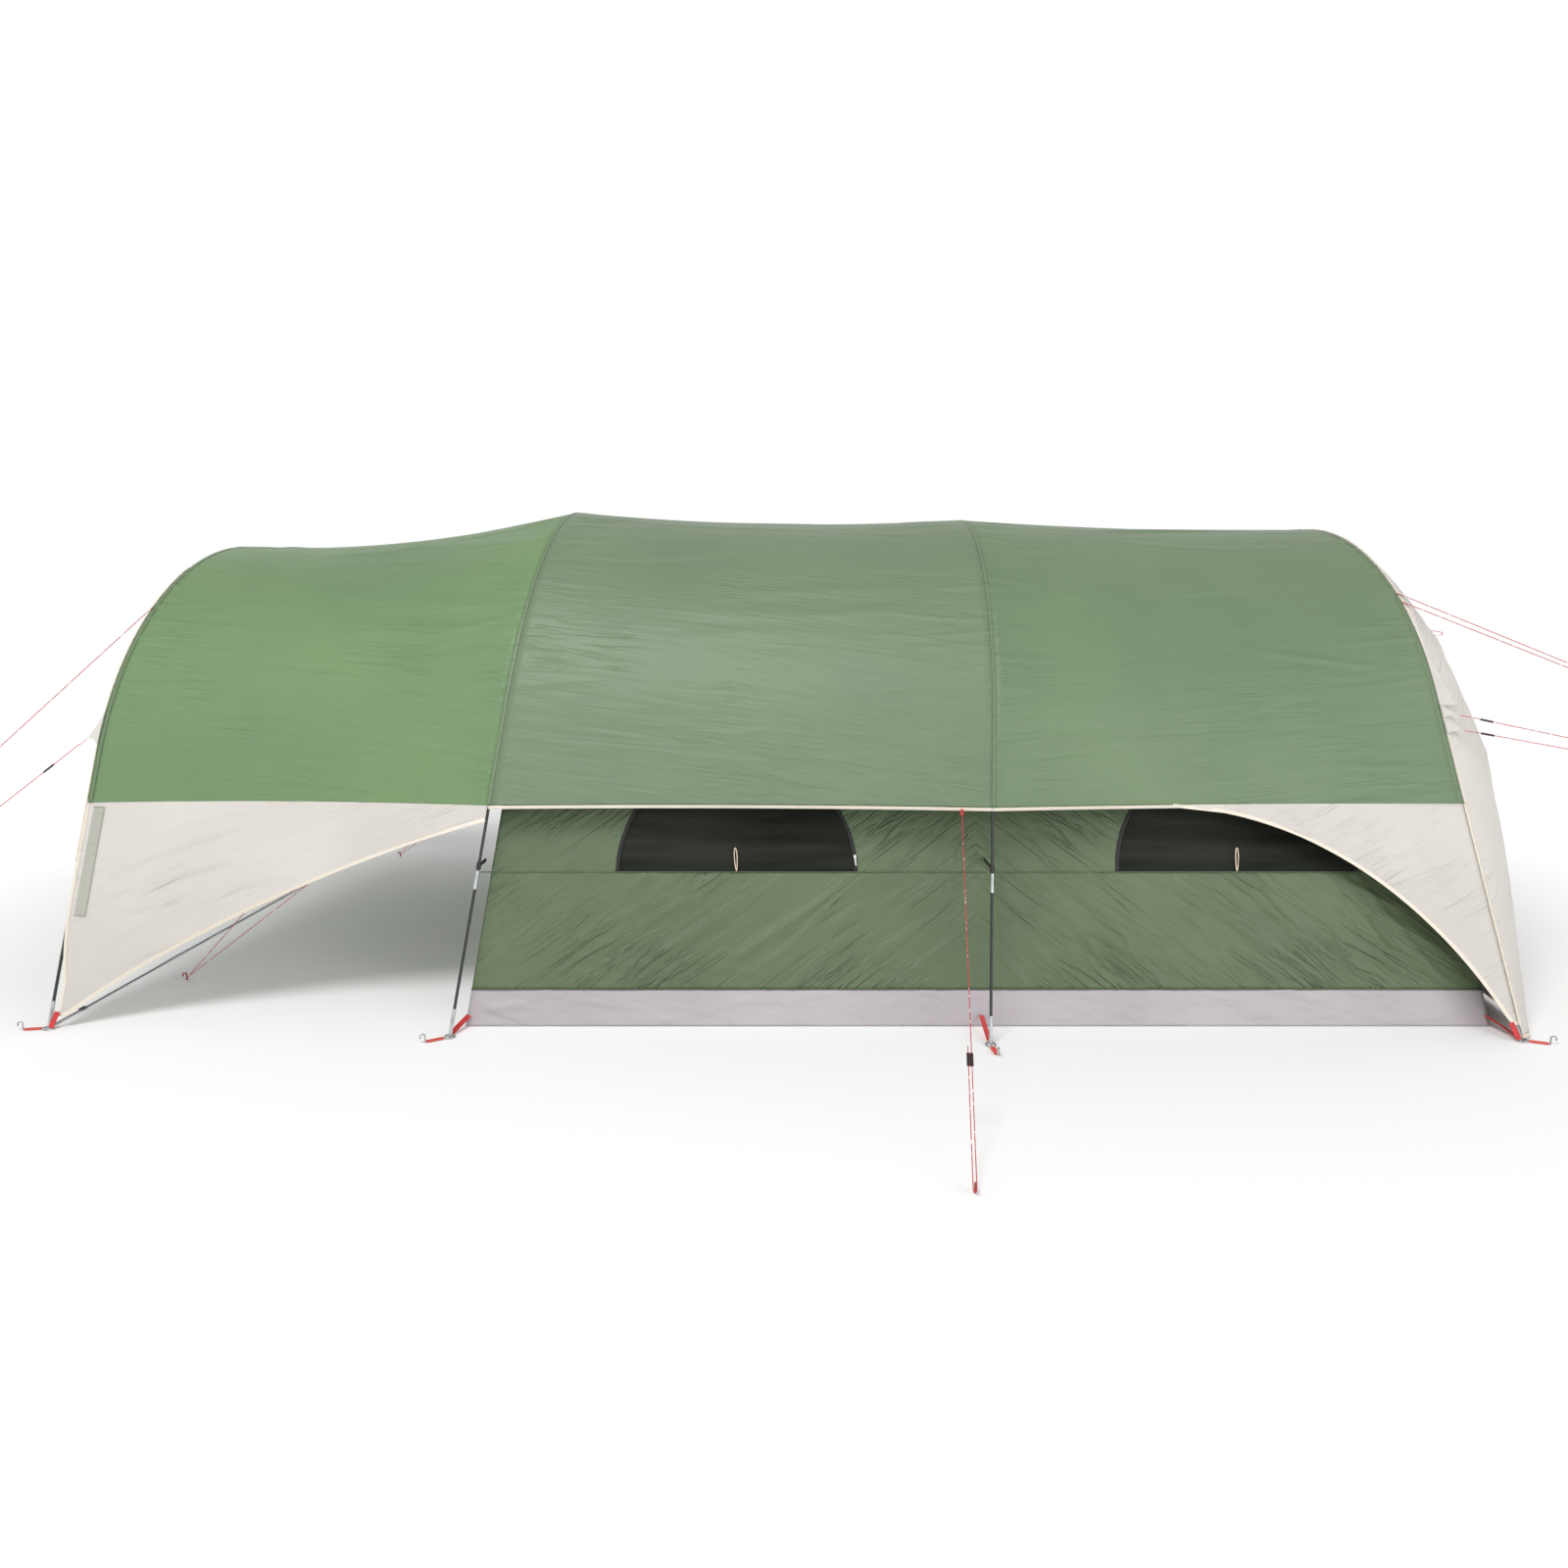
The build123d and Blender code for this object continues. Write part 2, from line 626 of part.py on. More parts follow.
BRIDLE_ROOTS = ((2733.0, 0.0, 1518.0), (2832.0, 0.0, 1366.0))

ROUTES = {
    "middle_guy": [(658, -1351, 790), (513, -2554, 6), (503, -2553, 6), (548.1, -2178.7, 250.0)],
    "front_upper_guy": [(-2615, -808, 1531), (-3883, -1737, 6), (-3889, -1729, 6), (-3802.2, -1665.4, 110.4)],
    "front_lower_guy": [(-2705, -1162, 1031), (-3804, -1767, 6), (-3809, -1758, 6), (-2772.9, -1187.6, 972.3)],
    "rear_upper_guy_a": [(2541, -809, 1596), (3003, -1185, 1323)],
    "rear_upper_guy_b": [(2544, -844, 1561), (2996, -1200, 1306)],
    "rear_lower_guy_a": [(2642, -1133, 1132), (2941, -1313, 1063)],
    "rear_lower_guy_b": [(2649, -1158, 1077), (2936, -1325, 1024)],
    "porch_guy_near": [(-1036, -827, 1617), (-2525, -932, 6), (-2525, -942, 6), (-1112, -1145, 1047)],
    "porch_guy_far": [(-1036, 832, 1617), (-2456, 1297, 6), (-2453, 1307, 6), (-1113, 1149, 1047)],
    "rear_bridle": [(2764, 0, 1513), (3229, 0, 1437), (3229, 0, 1427), (2863, 0, 1371)],
}


def guy_root(arch, along, side=-1, clearance=LOOP_FOOT):
    """Point just outside the fly on an arch, and the outward direction there."""
    spot = arch_point(arch, along)
    run = (arch_point(arch, along + 1) - spot).normalized()
    out = Vector(-run.Y, run.X)
    spot = spot + out * (FLY_GAP + CLOTH + clearance)
    plane = arch_plane(arch)
    point = plane.from_local_coords(Vector(spot.X, spot.Y, 0))
    outward = plane.from_local_coords(Vector(spot.X + out.X, spot.Y + out.Y, 0)) - point
    return Vector(point.X, -side * point.Y, point.Z), Vector(outward.X, -side * outward.Y, outward.Z)


def eave_root():
    """Point of the near eave that the middle guy line pulls on."""
    front, back = ARCHES[1], ARCHES[2]
    share = (EAVE_GUY_X - arch_x(front, EAVE_Z)) / (arch_x(back, EAVE_Z) - arch_x(front, EAVE_Z))
    arch, inset = between(1, share, BAY_SAG[1])
    spot = leg_point(arch, FLY_GAP + CLOTH + TAPE_THICKNESS + inset, EAVE_Z - TAPE_DROP / 2)
    return arch_plane(arch).from_local_coords(Vector(spot.X, spot.Y, 0))


def inner_root(arch, along, side):
    """Point just inside the pole sleeve on an arch."""
    depth = FLY_GAP + CLOTH + SLEEVE_BORE_R + SLEEVE_CLOTH + 2 * LOOP_FOOT
    return guy_root(arch, along, side, -depth)[0]


def webbing_loop(point, target, start=0.0):
    """Small flat loop of webbing from a point of the fly towards a target."""
    run = (Vector(*target) - point).normalized()
    point = point + run * start
    flat = Vector(0, 0, 1).cross(run).normalized()
    plane = Plane(origin=point, x_dir=flat, z_dir=flat.cross(run))
    return slot_ring(plane, GUY_LOOP, GUY_WIDTH, GUY_CORD)


def cord(route):
    """Round cord along straight runs, with small bends where it turns round a peg."""
    points = [Vector(*point) for point in route]
    if len(points) == 2:
        return pipe(Wire([Edge.make_line(*points)]), CORD_R)
    return pipe(FilletPolyline(*points, radius=STRAND_BEND), CORD_R)


def runner(route, share, strands):
    """Guy runner: a small bar on the cord, with one bore for each strand."""
    start, end = Vector(*route[0]), Vector(*route[1])
    run = (end - start).normalized()
    centre = start + (end - start) * share
    across = Vector(*route[2]) - end if strands == 2 else run.cross(Vector(0, 0, 1))
    across = (across - run * across.dot(run)).normalized()
    plane = Plane(origin=centre - run * (RUNNER_SIZE[0] / 2), x_dir=across, z_dir=run)
    shift = STRAND_GAP / 2 if strands == 2 else 0
    outline = plane * Pos(shift, 0) * RectangleRounded(RUNNER_SIZE[1], RUNNER_SIZE[2], 2)
    body = extrude(outline, amount=RUNNER_SIZE[0])
    for step in range(strands):
        bore = plane * Pos(step * STRAND_GAP, 0) * Circle(RUNNER_BORE_R)
        body -= extrude(bore, amount=RUNNER_SIZE[0])
    return body


def gusset(arch, along, reach, target):
    """Triangular cloth patch on an arch, drawn out to a point in the guy line's direction."""
    low, out = guy_root(arch, along - reach, clearance=GUSSET_FOOT)
    high, out = guy_root(arch, along + reach, clearance=GUSSET_FOOT)
    root, out = guy_root(arch, along, clearance=GUSSET_FOOT)
    tip = root + (Vector(*target) - root).normalized() * GUSSET_REACH
    face = Face(Wire.make_polygon([low, high, tip], close=True))
    return extrude(face, amount=CLOTH, dir=face.normal_at())


nodes = {}


def add(name, solids):
    """Keep one node: a solid, or a list of separate solids."""
    parts = solids if isinstance(solids, list) else [solids]
    flat = []
    for piece in parts:
        flat.extend(piece.moved(Location((-CENTRE_X, 0, 0))).solids())
    nodes[name] = Compound(children=flat) if len(flat) > 1 else flat[0]


def build_poles():
    for arch in ARCHES:
        add(f"{arch['name']}_arch_poles", pole_sections(arch))
    add("pole_ferrules", [solid for arch in ARCHES for solid in pole_ferrules(arch)])
    add("shock_cords", [shock_cord(arch) for arch in ARCHES])
    add("pole_end_tips", mirrored([pole_tip(arch) for arch in ARCHES]))
    add("ground_ring_pins", mirrored([ring_pin(arch) for arch in ARCHES]))


def build_fly():
    for name, bay in (("front", 0), ("middle", 1), ("rear", 2)):
        add(f"fly_roof_{name}", roof_bay(bay))
    porch = side_panel(0, PORCH_EDGE_FRONT, PORCH_EDGE_MIDDLE, PORCH_EDGE_BACK, (-3200.0, -900.0))
    rear = side_panel(2, REAR_EDGE_BACK, REAR_EDGE_MIDDLE, REAR_EDGE_FRONT, (3200.0, REAR_EDGE_FRONT[0]))
    for name, panel in (("porch", porch), ("rear", rear)):
        add(f"{name}_side_near", panel)
        add(f"{name}_side_far", mirror(panel, about=Plane.XZ))
    add("pole_sleeves", [sleeve(arch) for arch in ARCHES])
    add("rear_dome_panel", rear_dome())
    tape = [eave_tape(1), eave_tape(2) & Pos(REAR_EDGE_FRONT[0] - 2003, 0, 0) * Box(4000, 9000, 9000)]
    add("eave_tapes", mirrored(tape))
    front, rear = ARCHES[0], ARCHES[3]
    patches = [gusset(front, FRONT_GUYS[1], GUSSET_HALF[0], ROUTES["front_lower_guy"][1])]
    patches += [gusset(rear, along, GUSSET_HALF[1], REAR_HOLD) for along in REAR_GUYS[2:]]
    add("guy_gussets", mirrored(patches))
    add("guy_loops", guy_loops())


def guy_loops():
    """Webbing loops at every guy point, near and far."""
    front, second, rear = ARCHES[0], ARCHES[1], ARCHES[3]
    past = GUSSET_REACH + 2
    loops = [
        webbing_loop(eave_root(), ROUTES["middle_guy"][1]),
        webbing_loop(guy_root(front, FRONT_GUYS[0])[0], ROUTES["front_upper_guy"][1]),
        webbing_loop(guy_root(front, FRONT_GUYS[1])[0], ROUTES["front_lower_guy"][1], past),
    ]
    loops += [webbing_loop(guy_root(rear, along)[0], REAR_HOLD) for along in REAR_GUYS[:2]]
    loops += [webbing_loop(guy_root(rear, along)[0], REAR_HOLD, past) for along in REAR_GUYS[2:]]
    loops = mirrored(loops)
    for side, route in ((-1, "porch_guy_near"), (1, "porch_guy_far")):
        for along, turn in zip(PORCH_GUYS, (1, 2)):
            loops.append(webbing_loop(inner_root(second, along, side), ROUTES[route][turn]))
    for root, end in zip(BRIDLE_ROOTS, (0, 3)):
        loops.append(webbing_loop(Vector(*root), ROUTES["rear_bridle"][end]))
    return loops


def build_cabin():
    near, far, roof = cabin_walls()
    add("cabin_floor", cabin_floor())
    add("cabin_wall_near", near)
    add("cabin_wall_far", far)
    add("cabin_roof", roof)
    add("cabin_front_wall", cabin_front())
    add("cabin_rear_wall", cabin_rear())
    meshes = [window_mesh(x) for x in WINDOW_X]
    add("window_mesh_near", meshes)
    add("window_mesh_far", [mirror(mesh, about=Plane.XZ) for mesh in meshes])
    add("window_zips", mirrored([window_zip(x) for x in WINDOW_X]))
    for place, x in zip(("front", "rear"), WINDOW_X):
        add(f"window_slider_near_{place}", window_slider(x))
        add(f"window_slider_far_{place}", mirror(window_slider(x), about=Plane.XZ))
    add("window_loops", mirrored([window_loop(x) for x in WINDOW_X]))
    add("window_flap_rolls", mirrored([flap_roll(x) for x in WINDOW_X]))
    add("door_panel", door_panel())
    add("door_zip", door_zip())
    add("door_slider", door_slider())
    add("pole_clips", mirrored([pole_clip(arch) for arch in ARCHES[1:]]))


def build_ground():
    add("peg_tabs", mirrored([peg_tab(arch) for arch in ARCHES]))
    add("foot_pegs", mirrored([foot_peg(arch) for arch in ARCHES]))
    add("floor_webbing", mirrored([floor_web(arch) for arch in ARCHES[1:]]))
    add("corner_webbing", mirrored([corner_web(ARCHES[0]), corner_web(ARCHES[3])]))
    add("ground_strap", ground_strap())
    add("strap_buckle", strap_buckle())


def build_guys():
    for name, route in ROUTES.items():
        add(name, cord(route))
    add("middle_runner", runner(ROUTES["middle_guy"], MIDDLE_RUNNER_SHARE, 2))
    add("front_runner", runner(ROUTES["front_lower_guy"], FRONT_RUNNER_SHARE, 2))
    for letter, share in zip("ab", REAR_RUNNER_SHARE):
        add(f"rear_runner_{letter}", runner(ROUTES[f"rear_lower_guy_{letter}"], share, 1))
    pegs = (
        (PEG_MIDDLE, -97),
        (PEG_FRONT_UPPER, 216),
        (PEG_FRONT_LOWER, 209),
        (PEG_PORCH_NEAR, 184),
        (PEG_PORCH_FAR, 155),
    )
    add("guy_pegs", [hooked_peg(spot, turn) for spot, turn in pegs])


def main():
    build_poles()
    build_fly()
    build_cabin()
    build_ground()
    build_guys()
    os.makedirs("parts", exist_ok=True)
    for name, shape in nodes.items():
        export_step(shape, f"parts/{name}.step")
        print(name, len(shape.solids()), round(shape.volume))


if __name__ == "__main__":
    main()
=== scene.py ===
import math

import bmesh
import bpy
import numpy as np
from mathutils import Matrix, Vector


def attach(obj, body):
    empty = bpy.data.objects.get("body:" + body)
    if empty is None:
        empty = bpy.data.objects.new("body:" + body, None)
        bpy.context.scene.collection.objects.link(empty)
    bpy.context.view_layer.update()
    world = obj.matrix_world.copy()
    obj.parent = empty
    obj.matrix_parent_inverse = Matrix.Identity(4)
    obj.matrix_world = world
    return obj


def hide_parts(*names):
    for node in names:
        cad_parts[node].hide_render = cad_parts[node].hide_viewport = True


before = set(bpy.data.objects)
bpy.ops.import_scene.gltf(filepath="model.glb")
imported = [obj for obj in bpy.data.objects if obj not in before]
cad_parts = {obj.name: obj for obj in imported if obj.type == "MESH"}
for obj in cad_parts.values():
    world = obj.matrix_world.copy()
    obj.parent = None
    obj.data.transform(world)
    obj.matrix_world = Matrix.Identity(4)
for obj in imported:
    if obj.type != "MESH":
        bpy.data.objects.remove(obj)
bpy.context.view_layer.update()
centreX = 0.1083  # distance from the layout's own origin to the middle of the tent
home = "tent"
chance = np.random.default_rng(41)


def settled(points):
    # points of the tent's layout, in the row frame
    return np.asarray(points, float) - np.array([centreX, 0, 0])


# ---- camera

cameraAt = {"place": (0.0, -5.05, 1.515), "downward": 9.34, "lens": 23.4, "sensor": 36.0}

cameraData = bpy.data.cameras.new("viewCamera")
cameraData.lens = cameraAt["lens"]
cameraData.sensor_width = cameraAt["sensor"]
cameraData.clip_end = 60
camera = bpy.data.objects.new("viewCamera", cameraData)
camera.location = settled(cameraAt["place"])
camera.rotation_euler = (math.radians(90 - cameraAt["downward"]), 0, 0)
bpy.context.scene.collection.objects.link(camera)
bpy.context.scene.camera = camera


# ---- materials


def linear(hexColour):
    # sRGB hex to linear red, green, blue and alpha
    parts = [int(hexColour[i : i + 2], 16) / 255 for i in (1, 3, 5)]
    return [p / 12.92 if p <= 0.04045 else ((p + 0.055) / 1.055) ** 2.4 for p in parts] + [1.0]


def node(tree, kind, settings=None, links=None):
    # one shader node; settings are socket or attribute values, links are socket name to output
    made = tree.nodes.new(kind)
    for key, value in (settings or {}).items():
        if isinstance(key, int) or key in made.inputs:
            made.inputs[key].default_value = value
        else:
            setattr(made, key, value)
    for key, source in (links or {}).items():
        tree.links.new(source, made.inputs[key])
    return made


def startMaterial(name):
    # a new material with an empty node tree
    material = bpy.data.materials.new(name)
    material.use_nodes = True
    tree = material.node_tree
    tree.nodes.clear()
    return material, tree


def ramp(tree, source, stops):
    # colour by value: stops are pairs of place and sRGB hex
    made = node(tree, "ShaderNodeValToRGB", links={"Fac": source})
    elements = made.color_ramp.elements
    while len(elements) < len(stops):
        elements.new(0.5)
    for element, (where, colour) in zip(elements, stops):
        element.position = where
        element.color = linear(colour)
    return made.outputs["Color"]


def wovenCloth(name, pale, deep, streak=(0.0, 1.2, 20.0), light=0.2, rough=0.45, crinkle=0.006, sharp=0.002):
    # coated polyester taffeta: a soft sheen, crinkles along the pull, sharp fine creases and some light through it
    material, tree = startMaterial(name)
    at = node(tree, "ShaderNodeAttribute", {"attribute_name": "clothAt"}).outputs["Vector"]
    broad = node(tree, "ShaderNodeTexNoise", {"Scale": 1.3, "Detail": 3.0, "Roughness": 0.5}, {"Vector": at})
    colour = ramp(tree, broad.outputs["Fac"], [(0.3, deep), (0.7, pale)])
    turned = node(tree, "ShaderNodeMapping", {"Rotation": (0, 0, streak[0])}, {"Vector": at})
    drawn = node(tree, "ShaderNodeMapping", {"Scale": (streak[1], streak[2], 1)},
                 {"Vector": turned.outputs["Vector"]})
    pull = node(tree, "ShaderNodeTexNoise", {"Scale": 1.0, "Detail": 4.0, "Roughness": 0.55,
                                             "Distortion": 0.6},
                {"Vector": drawn.outputs["Vector"]})
    # creases: a drawn-out noise is close to its middle value along thin wandering lines, in patches
    lines = node(tree, "ShaderNodeTexNoise", {"Scale": 1.3, "Detail": 3.0, "Roughness": 0.6,
                                              "Distortion": 0.35},
                 {"Vector": drawn.outputs["Vector"]})
    centred = node(tree, "ShaderNodeMath", {"operation": "SUBTRACT", 1: 0.5}, {0: lines.outputs["Fac"]})
    far = node(tree, "ShaderNodeMath", {"operation": "ABSOLUTE"}, {0: centred.outputs[0]})
    fall = {"interpolation_type": "SMOOTHSTEP", "From Max": 0.055, "To Min": 1.0, "To Max": 0.0}
    ridge = node(tree, "ShaderNodeMapRange", fall, {"Value": far.outputs[0]})
    patches = node(tree, "ShaderNodeTexNoise", {"Scale": 2.2, "Detail": 1.0},
                   {"Vector": turned.outputs["Vector"]})
    patchy = node(tree, "ShaderNodeMapRange", {"From Min": 0.42, "From Max": 0.62},
                  {"Value": patches.outputs["Fac"]})
    crease = node(tree, "ShaderNodeMath", {"operation": "MULTIPLY"},
                  {0: ridge.outputs[0], 1: patchy.outputs[0]})
    # threads are 0.3 mm apart; drawn 3 mm apart so that they show close up
    threads = []
    for direction in ("X", "Y"):
        threads.append(node(tree, "ShaderNodeTexWave",
                            {"bands_direction": direction, "Scale": 105.0, "Distortion": 0.4},
                            {"Vector": at}).outputs["Fac"])
    weave = node(tree, "ShaderNodeMath", {"operation": "ADD"})
    tree.links.new(threads[0], weave.inputs[0])
    tree.links.new(threads[1], weave.inputs[1])
    folded = node(tree, "ShaderNodeBump", {"Strength": 1.0, "Distance": crinkle},
                  {"Height": pull.outputs["Fac"]})
    pinched = node(tree, "ShaderNodeBump", {"Strength": 1.0, "Distance": sharp},
                   {"Height": crease.outputs[0], "Normal": folded.outputs["Normal"]})
    bump = node(tree, "ShaderNodeBump", {"Strength": 0.12, "Distance": 0.0004},
                {"Height": weave.outputs["Value"], "Normal": pinched.outputs["Normal"]})
    surface = node(tree, "ShaderNodeBsdfPrincipled",
                   {"Roughness": rough, "Sheen Weight": 0.1, "Sheen Roughness": 0.4,
                    "Specular IOR Level": 0.35},
                   {"Base Color": colour, "Normal": bump.outputs["Normal"]})
    through = node(tree, "ShaderNodeBsdfTranslucent",
                   links={"Color": colour, "Normal": bump.outputs["Normal"]})
    both = node(tree, "ShaderNodeMixShader", {"Fac": light})
    tree.links.new(surface.outputs[0], both.inputs[1])
    tree.links.new(through.outputs[0], both.inputs[2])
    node(tree, "ShaderNodeOutputMaterial", links={"Surface": both.outputs[0]})
    return material


def noSeeUmMesh(name, colour, pale, hole=0.12):
    # fine black netting: mostly dark yarn with painted highlights in pale streaks along its folds, with the space
    # behind it showing through the holes
    material, tree = startMaterial(name)
    at = node(tree, "ShaderNodeAttribute", {"attribute_name": "clothAt"}).outputs["Vector"]
    turned = node(tree, "ShaderNodeMapping", {"Rotation": (0, 0, 0.8), "Scale": (1.5, 14, 1)}, {"Vector": at})
    drape = node(tree, "ShaderNodeTexNoise", {"Scale": 1.0, "Detail": 3.0},
                 {"Vector": turned.outputs["Vector"]})
    # the yarn runs from its dark colour to a paler one along the drape's folds; the pale streaks are painted
    # highlight
    yarnAndGlint = ramp(tree, drape.outputs["Fac"], [(0.35, colour), (0.7, pale)])
    folds = node(tree, "ShaderNodeBump", {"Strength": 0.8, "Distance": 0.01},
                 {"Height": drape.outputs["Fac"]})
    yarn = node(tree, "ShaderNodeBsdfPrincipled", {"Roughness": 0.8, "Specular IOR Level": 0.15},
                {"Base Color": yarnAndGlint, "Normal": folds.outputs["Normal"]})
    # holes are 0.5 mm; drawn 2.5 mm apart
    holes = node(tree, "ShaderNodeTexVoronoi", {"Scale": 400.0, "Randomness": 0.1}, {"Vector": at})
    gap = node(tree, "ShaderNodeMath", {"operation": "LESS_THAN", 1: hole}, {0: holes.outputs["Distance"]})
    clear = node(tree, "ShaderNodeBsdfTransparent")
    both = node(tree, "ShaderNodeMixShader", links={"Fac": gap.outputs["Value"]})
    tree.links.new(yarn.outputs[0], both.inputs[1])
    tree.links.new(clear.outputs[0], both.inputs[2])
    node(tree, "ShaderNodeOutputMaterial", links={"Surface": both.outputs[0]})
    return material


def webbingWeave(name, colour, deep, scale=90.0):
    # nylon webbing: ribs across its width, 1.5 mm apart in life and drawn 3.5 mm apart
    material, tree = startMaterial(name)
    at = node(tree, "ShaderNodeTexCoord").outputs["Object"]
    ribs = node(tree, "ShaderNodeTexWave", {"bands_direction": "DIAGONAL", "Scale": scale,
                                            "Distortion": 1.5}, {"Vector": at})
    wear = node(tree, "ShaderNodeTexNoise", {"Scale": 60.0, "Detail": 4.0}, {"Vector": at})
    tint = ramp(tree, wear.outputs["Fac"], [(0.3, deep), (0.65, colour)])
    bump = node(tree, "ShaderNodeBump", {"Strength": 0.5, "Distance": 0.0006},
                {"Height": ribs.outputs["Fac"]})
    surface = node(tree, "ShaderNodeBsdfPrincipled", {"Roughness": 0.6, "Sheen Weight": 0.2},
                   {"Base Color": tint, "Normal": bump.outputs["Normal"]})
    node(tree, "ShaderNodeOutputMaterial", links={"Surface": surface.outputs[0]})
    return material


def braidedCord(name, dark, pale):
    # 3 mm braided polyester guy line, red with reflective pale flecks about 8 mm apart
    material, tree = startMaterial(name)
    at = node(tree, "ShaderNodeTexCoord").outputs["Object"]
    flecks = node(tree, "ShaderNodeTexNoise", {"Scale": 70.0, "Detail": 1.0}, {"Vector": at})
    tint = ramp(tree, flecks.outputs["Fac"], [(0.62, dark), (0.68, pale)])
    braid = node(tree, "ShaderNodeTexWave", {"bands_direction": "DIAGONAL", "Scale": 220.0}, {"Vector": at})
    bump = node(tree, "ShaderNodeBump", {"Strength": 0.5, "Distance": 0.0004},
                {"Height": braid.outputs["Fac"]})
    surface = node(tree, "ShaderNodeBsdfPrincipled", {"Roughness": 0.6},
                   {"Base Color": tint, "Normal": bump.outputs["Normal"]})
    node(tree, "ShaderNodeOutputMaterial", links={"Surface": surface.outputs[0]})
    return material


def hardFinish(name, colour, deep, metallic=0.0, rough=0.4, grain=400.0, drawn=(1, 1, 1), distance=0.0001,
               coat=0.0):
    # hard piece: metal, moulded plastic or fibreglass, with its own fine grain
    material, tree = startMaterial(name)
    at = node(tree, "ShaderNodeTexCoord").outputs["Object"]
    laid = node(tree, "ShaderNodeMapping", {"Scale": drawn}, {"Vector": at})
    fine = node(tree, "ShaderNodeTexNoise", {"Scale": grain, "Detail": 3.0},
                {"Vector": laid.outputs["Vector"]})
    worn = node(tree, "ShaderNodeTexNoise", {"Scale": 25.0, "Detail": 4.0}, {"Vector": at})
    tint = ramp(tree, worn.outputs["Fac"], [(0.35, deep), (0.6, colour)])
    span = node(tree, "ShaderNodeMapRange", {"To Min": rough * 0.8, "To Max": min(1.0, rough * 1.3)},
                {"Value": fine.outputs["Fac"]})
    bump = node(tree, "ShaderNodeBump", {"Strength": 0.4, "Distance": distance},
                {"Height": fine.outputs["Fac"]})
    surface = node(tree, "ShaderNodeBsdfPrincipled", {"Metallic": metallic, "Coat Weight": coat},
                   {"Base Color": tint, "Roughness": span.outputs["Result"], "Normal": bump.outputs["Normal"]})
    node(tree, "ShaderNodeOutputMaterial", links={"Surface": surface.outputs[0]})
    return material


finishes = {
    # the fly's three bays are one fabric; their copies differ in colour as painted light: the porch copy is a
    # brighter, more saturated green for light coming through its single layer, while the middle and rear copies over
    # the cabin are greyer
    "porchFly": wovenCloth("taffetaGreenPorch", "#779366", "#6e8a64", streak=(0.1, 1.2, 20.0), light=0.16,
                           crinkle=0.008, sharp=0.0013),
    "fly": wovenCloth("taffetaGreenRoof", "#75876a", "#6e8166", streak=(0.14, 1.3, 18.0), light=0.12,
                      crinkle=0.007, sharp=0.0013),
    "rearFly": wovenCloth("taffetaGreenRear", "#738867", "#6a7f61", streak=(-0.08, 1.2, 20.0), light=0.12,
                          crinkle=0.006, sharp=0.0012),
    "cream": wovenCloth("taffetaCream", "#dedbd5", "#d2cdc6", streak=(-0.4, 1.0, 8.0), light=0.22,
                        crinkle=0.014, sharp=0.003),
    "cabin": wovenCloth("breathableGreen", "#627154", "#55644a", streak=(-0.62, 1.6, 12.0), light=0.05,
                        crinkle=0.02, sharp=0.005),
    "cabinDark": wovenCloth("breathableGreenSeam", "#515f45", "#46533b", light=0.03),
    "ground": wovenCloth("polyethyleneGroundsheet", "#bab3b7", "#a8a1a6", streak=(0.3, 2.5, 12.0),
                         light=0.03, rough=0.42, crinkle=0.014, sharp=0.001),
    "binding": wovenCloth("bindingTapeCream", "#ece4d6", "#ded4c4", light=0.1),
    "seam": wovenCloth("feltedSeamGreen", "#728567", "#6a7d61", light=0.1),
    "sleeve": wovenCloth("poleSleeveGreen", "#64775a", "#56694d", light=0.1),
    "greyTape": wovenCloth("reinforcingTapeGrey", "#b9baae", "#a9aa9e", light=0.1),
    # the netting's second, paler colour is painted highlight along its folds
    "netting": noSeeUmMesh("nettingBlack", "#171914", "#2d302a"),
    "redWebbing": webbingWeave("nylonWebbingRed", "#cf2f31", "#b3262a"),
    "orangeWebbing": webbingWeave("nylonWebbingOrange", "#e8412b", "#cf3323"),
    "blackWebbing": webbingWeave("nylonWebbingBlack", "#2b2b2d", "#1c1c1e"),
    "elasticCord": webbingWeave("elasticCordBeige", "#d9c4b2", "#c4ac99", scale=160.0),
    "guyCord": braidedCord("braidedCordRed", "#bd3340", "#ead9d6"),
    "zip": hardFinish("zipCoilBlack", "#1b1c1b", "#131413", rough=0.5),
    "rod": hardFinish("fibreglassBlack", "#232425", "#18191a", rough=0.32, grain=90.0, drawn=(1, 1, 0.15),
                      coat=0.2),
    "steel": hardFinish("zincPlatedSteel", "#c9cbcc", "#aeb1b3", metallic=1.0, rough=0.3, grain=220.0,
                        drawn=(1, 1, 0.2)),
    "clip": hardFinish("acetalBlack", "#202022", "#161618", rough=0.42),
    "runner": hardFinish("nylonRunnerMaroon", "#35181d", "#261116", rough=0.45),
    "pegPaint": hardFinish("paintedPegRed", "#a83a2c", "#86291f", rough=0.45, coat=0.2),
    "slider": hardFinish("enamelledZincSlider", "#d8d6cc", "#bdbab0", rough=0.35, coat=0.4),
    "elastic": hardFinish("shockCordBlack", "#2c2c2d", "#1f1f20", rough=0.7),
}


# ---- cords

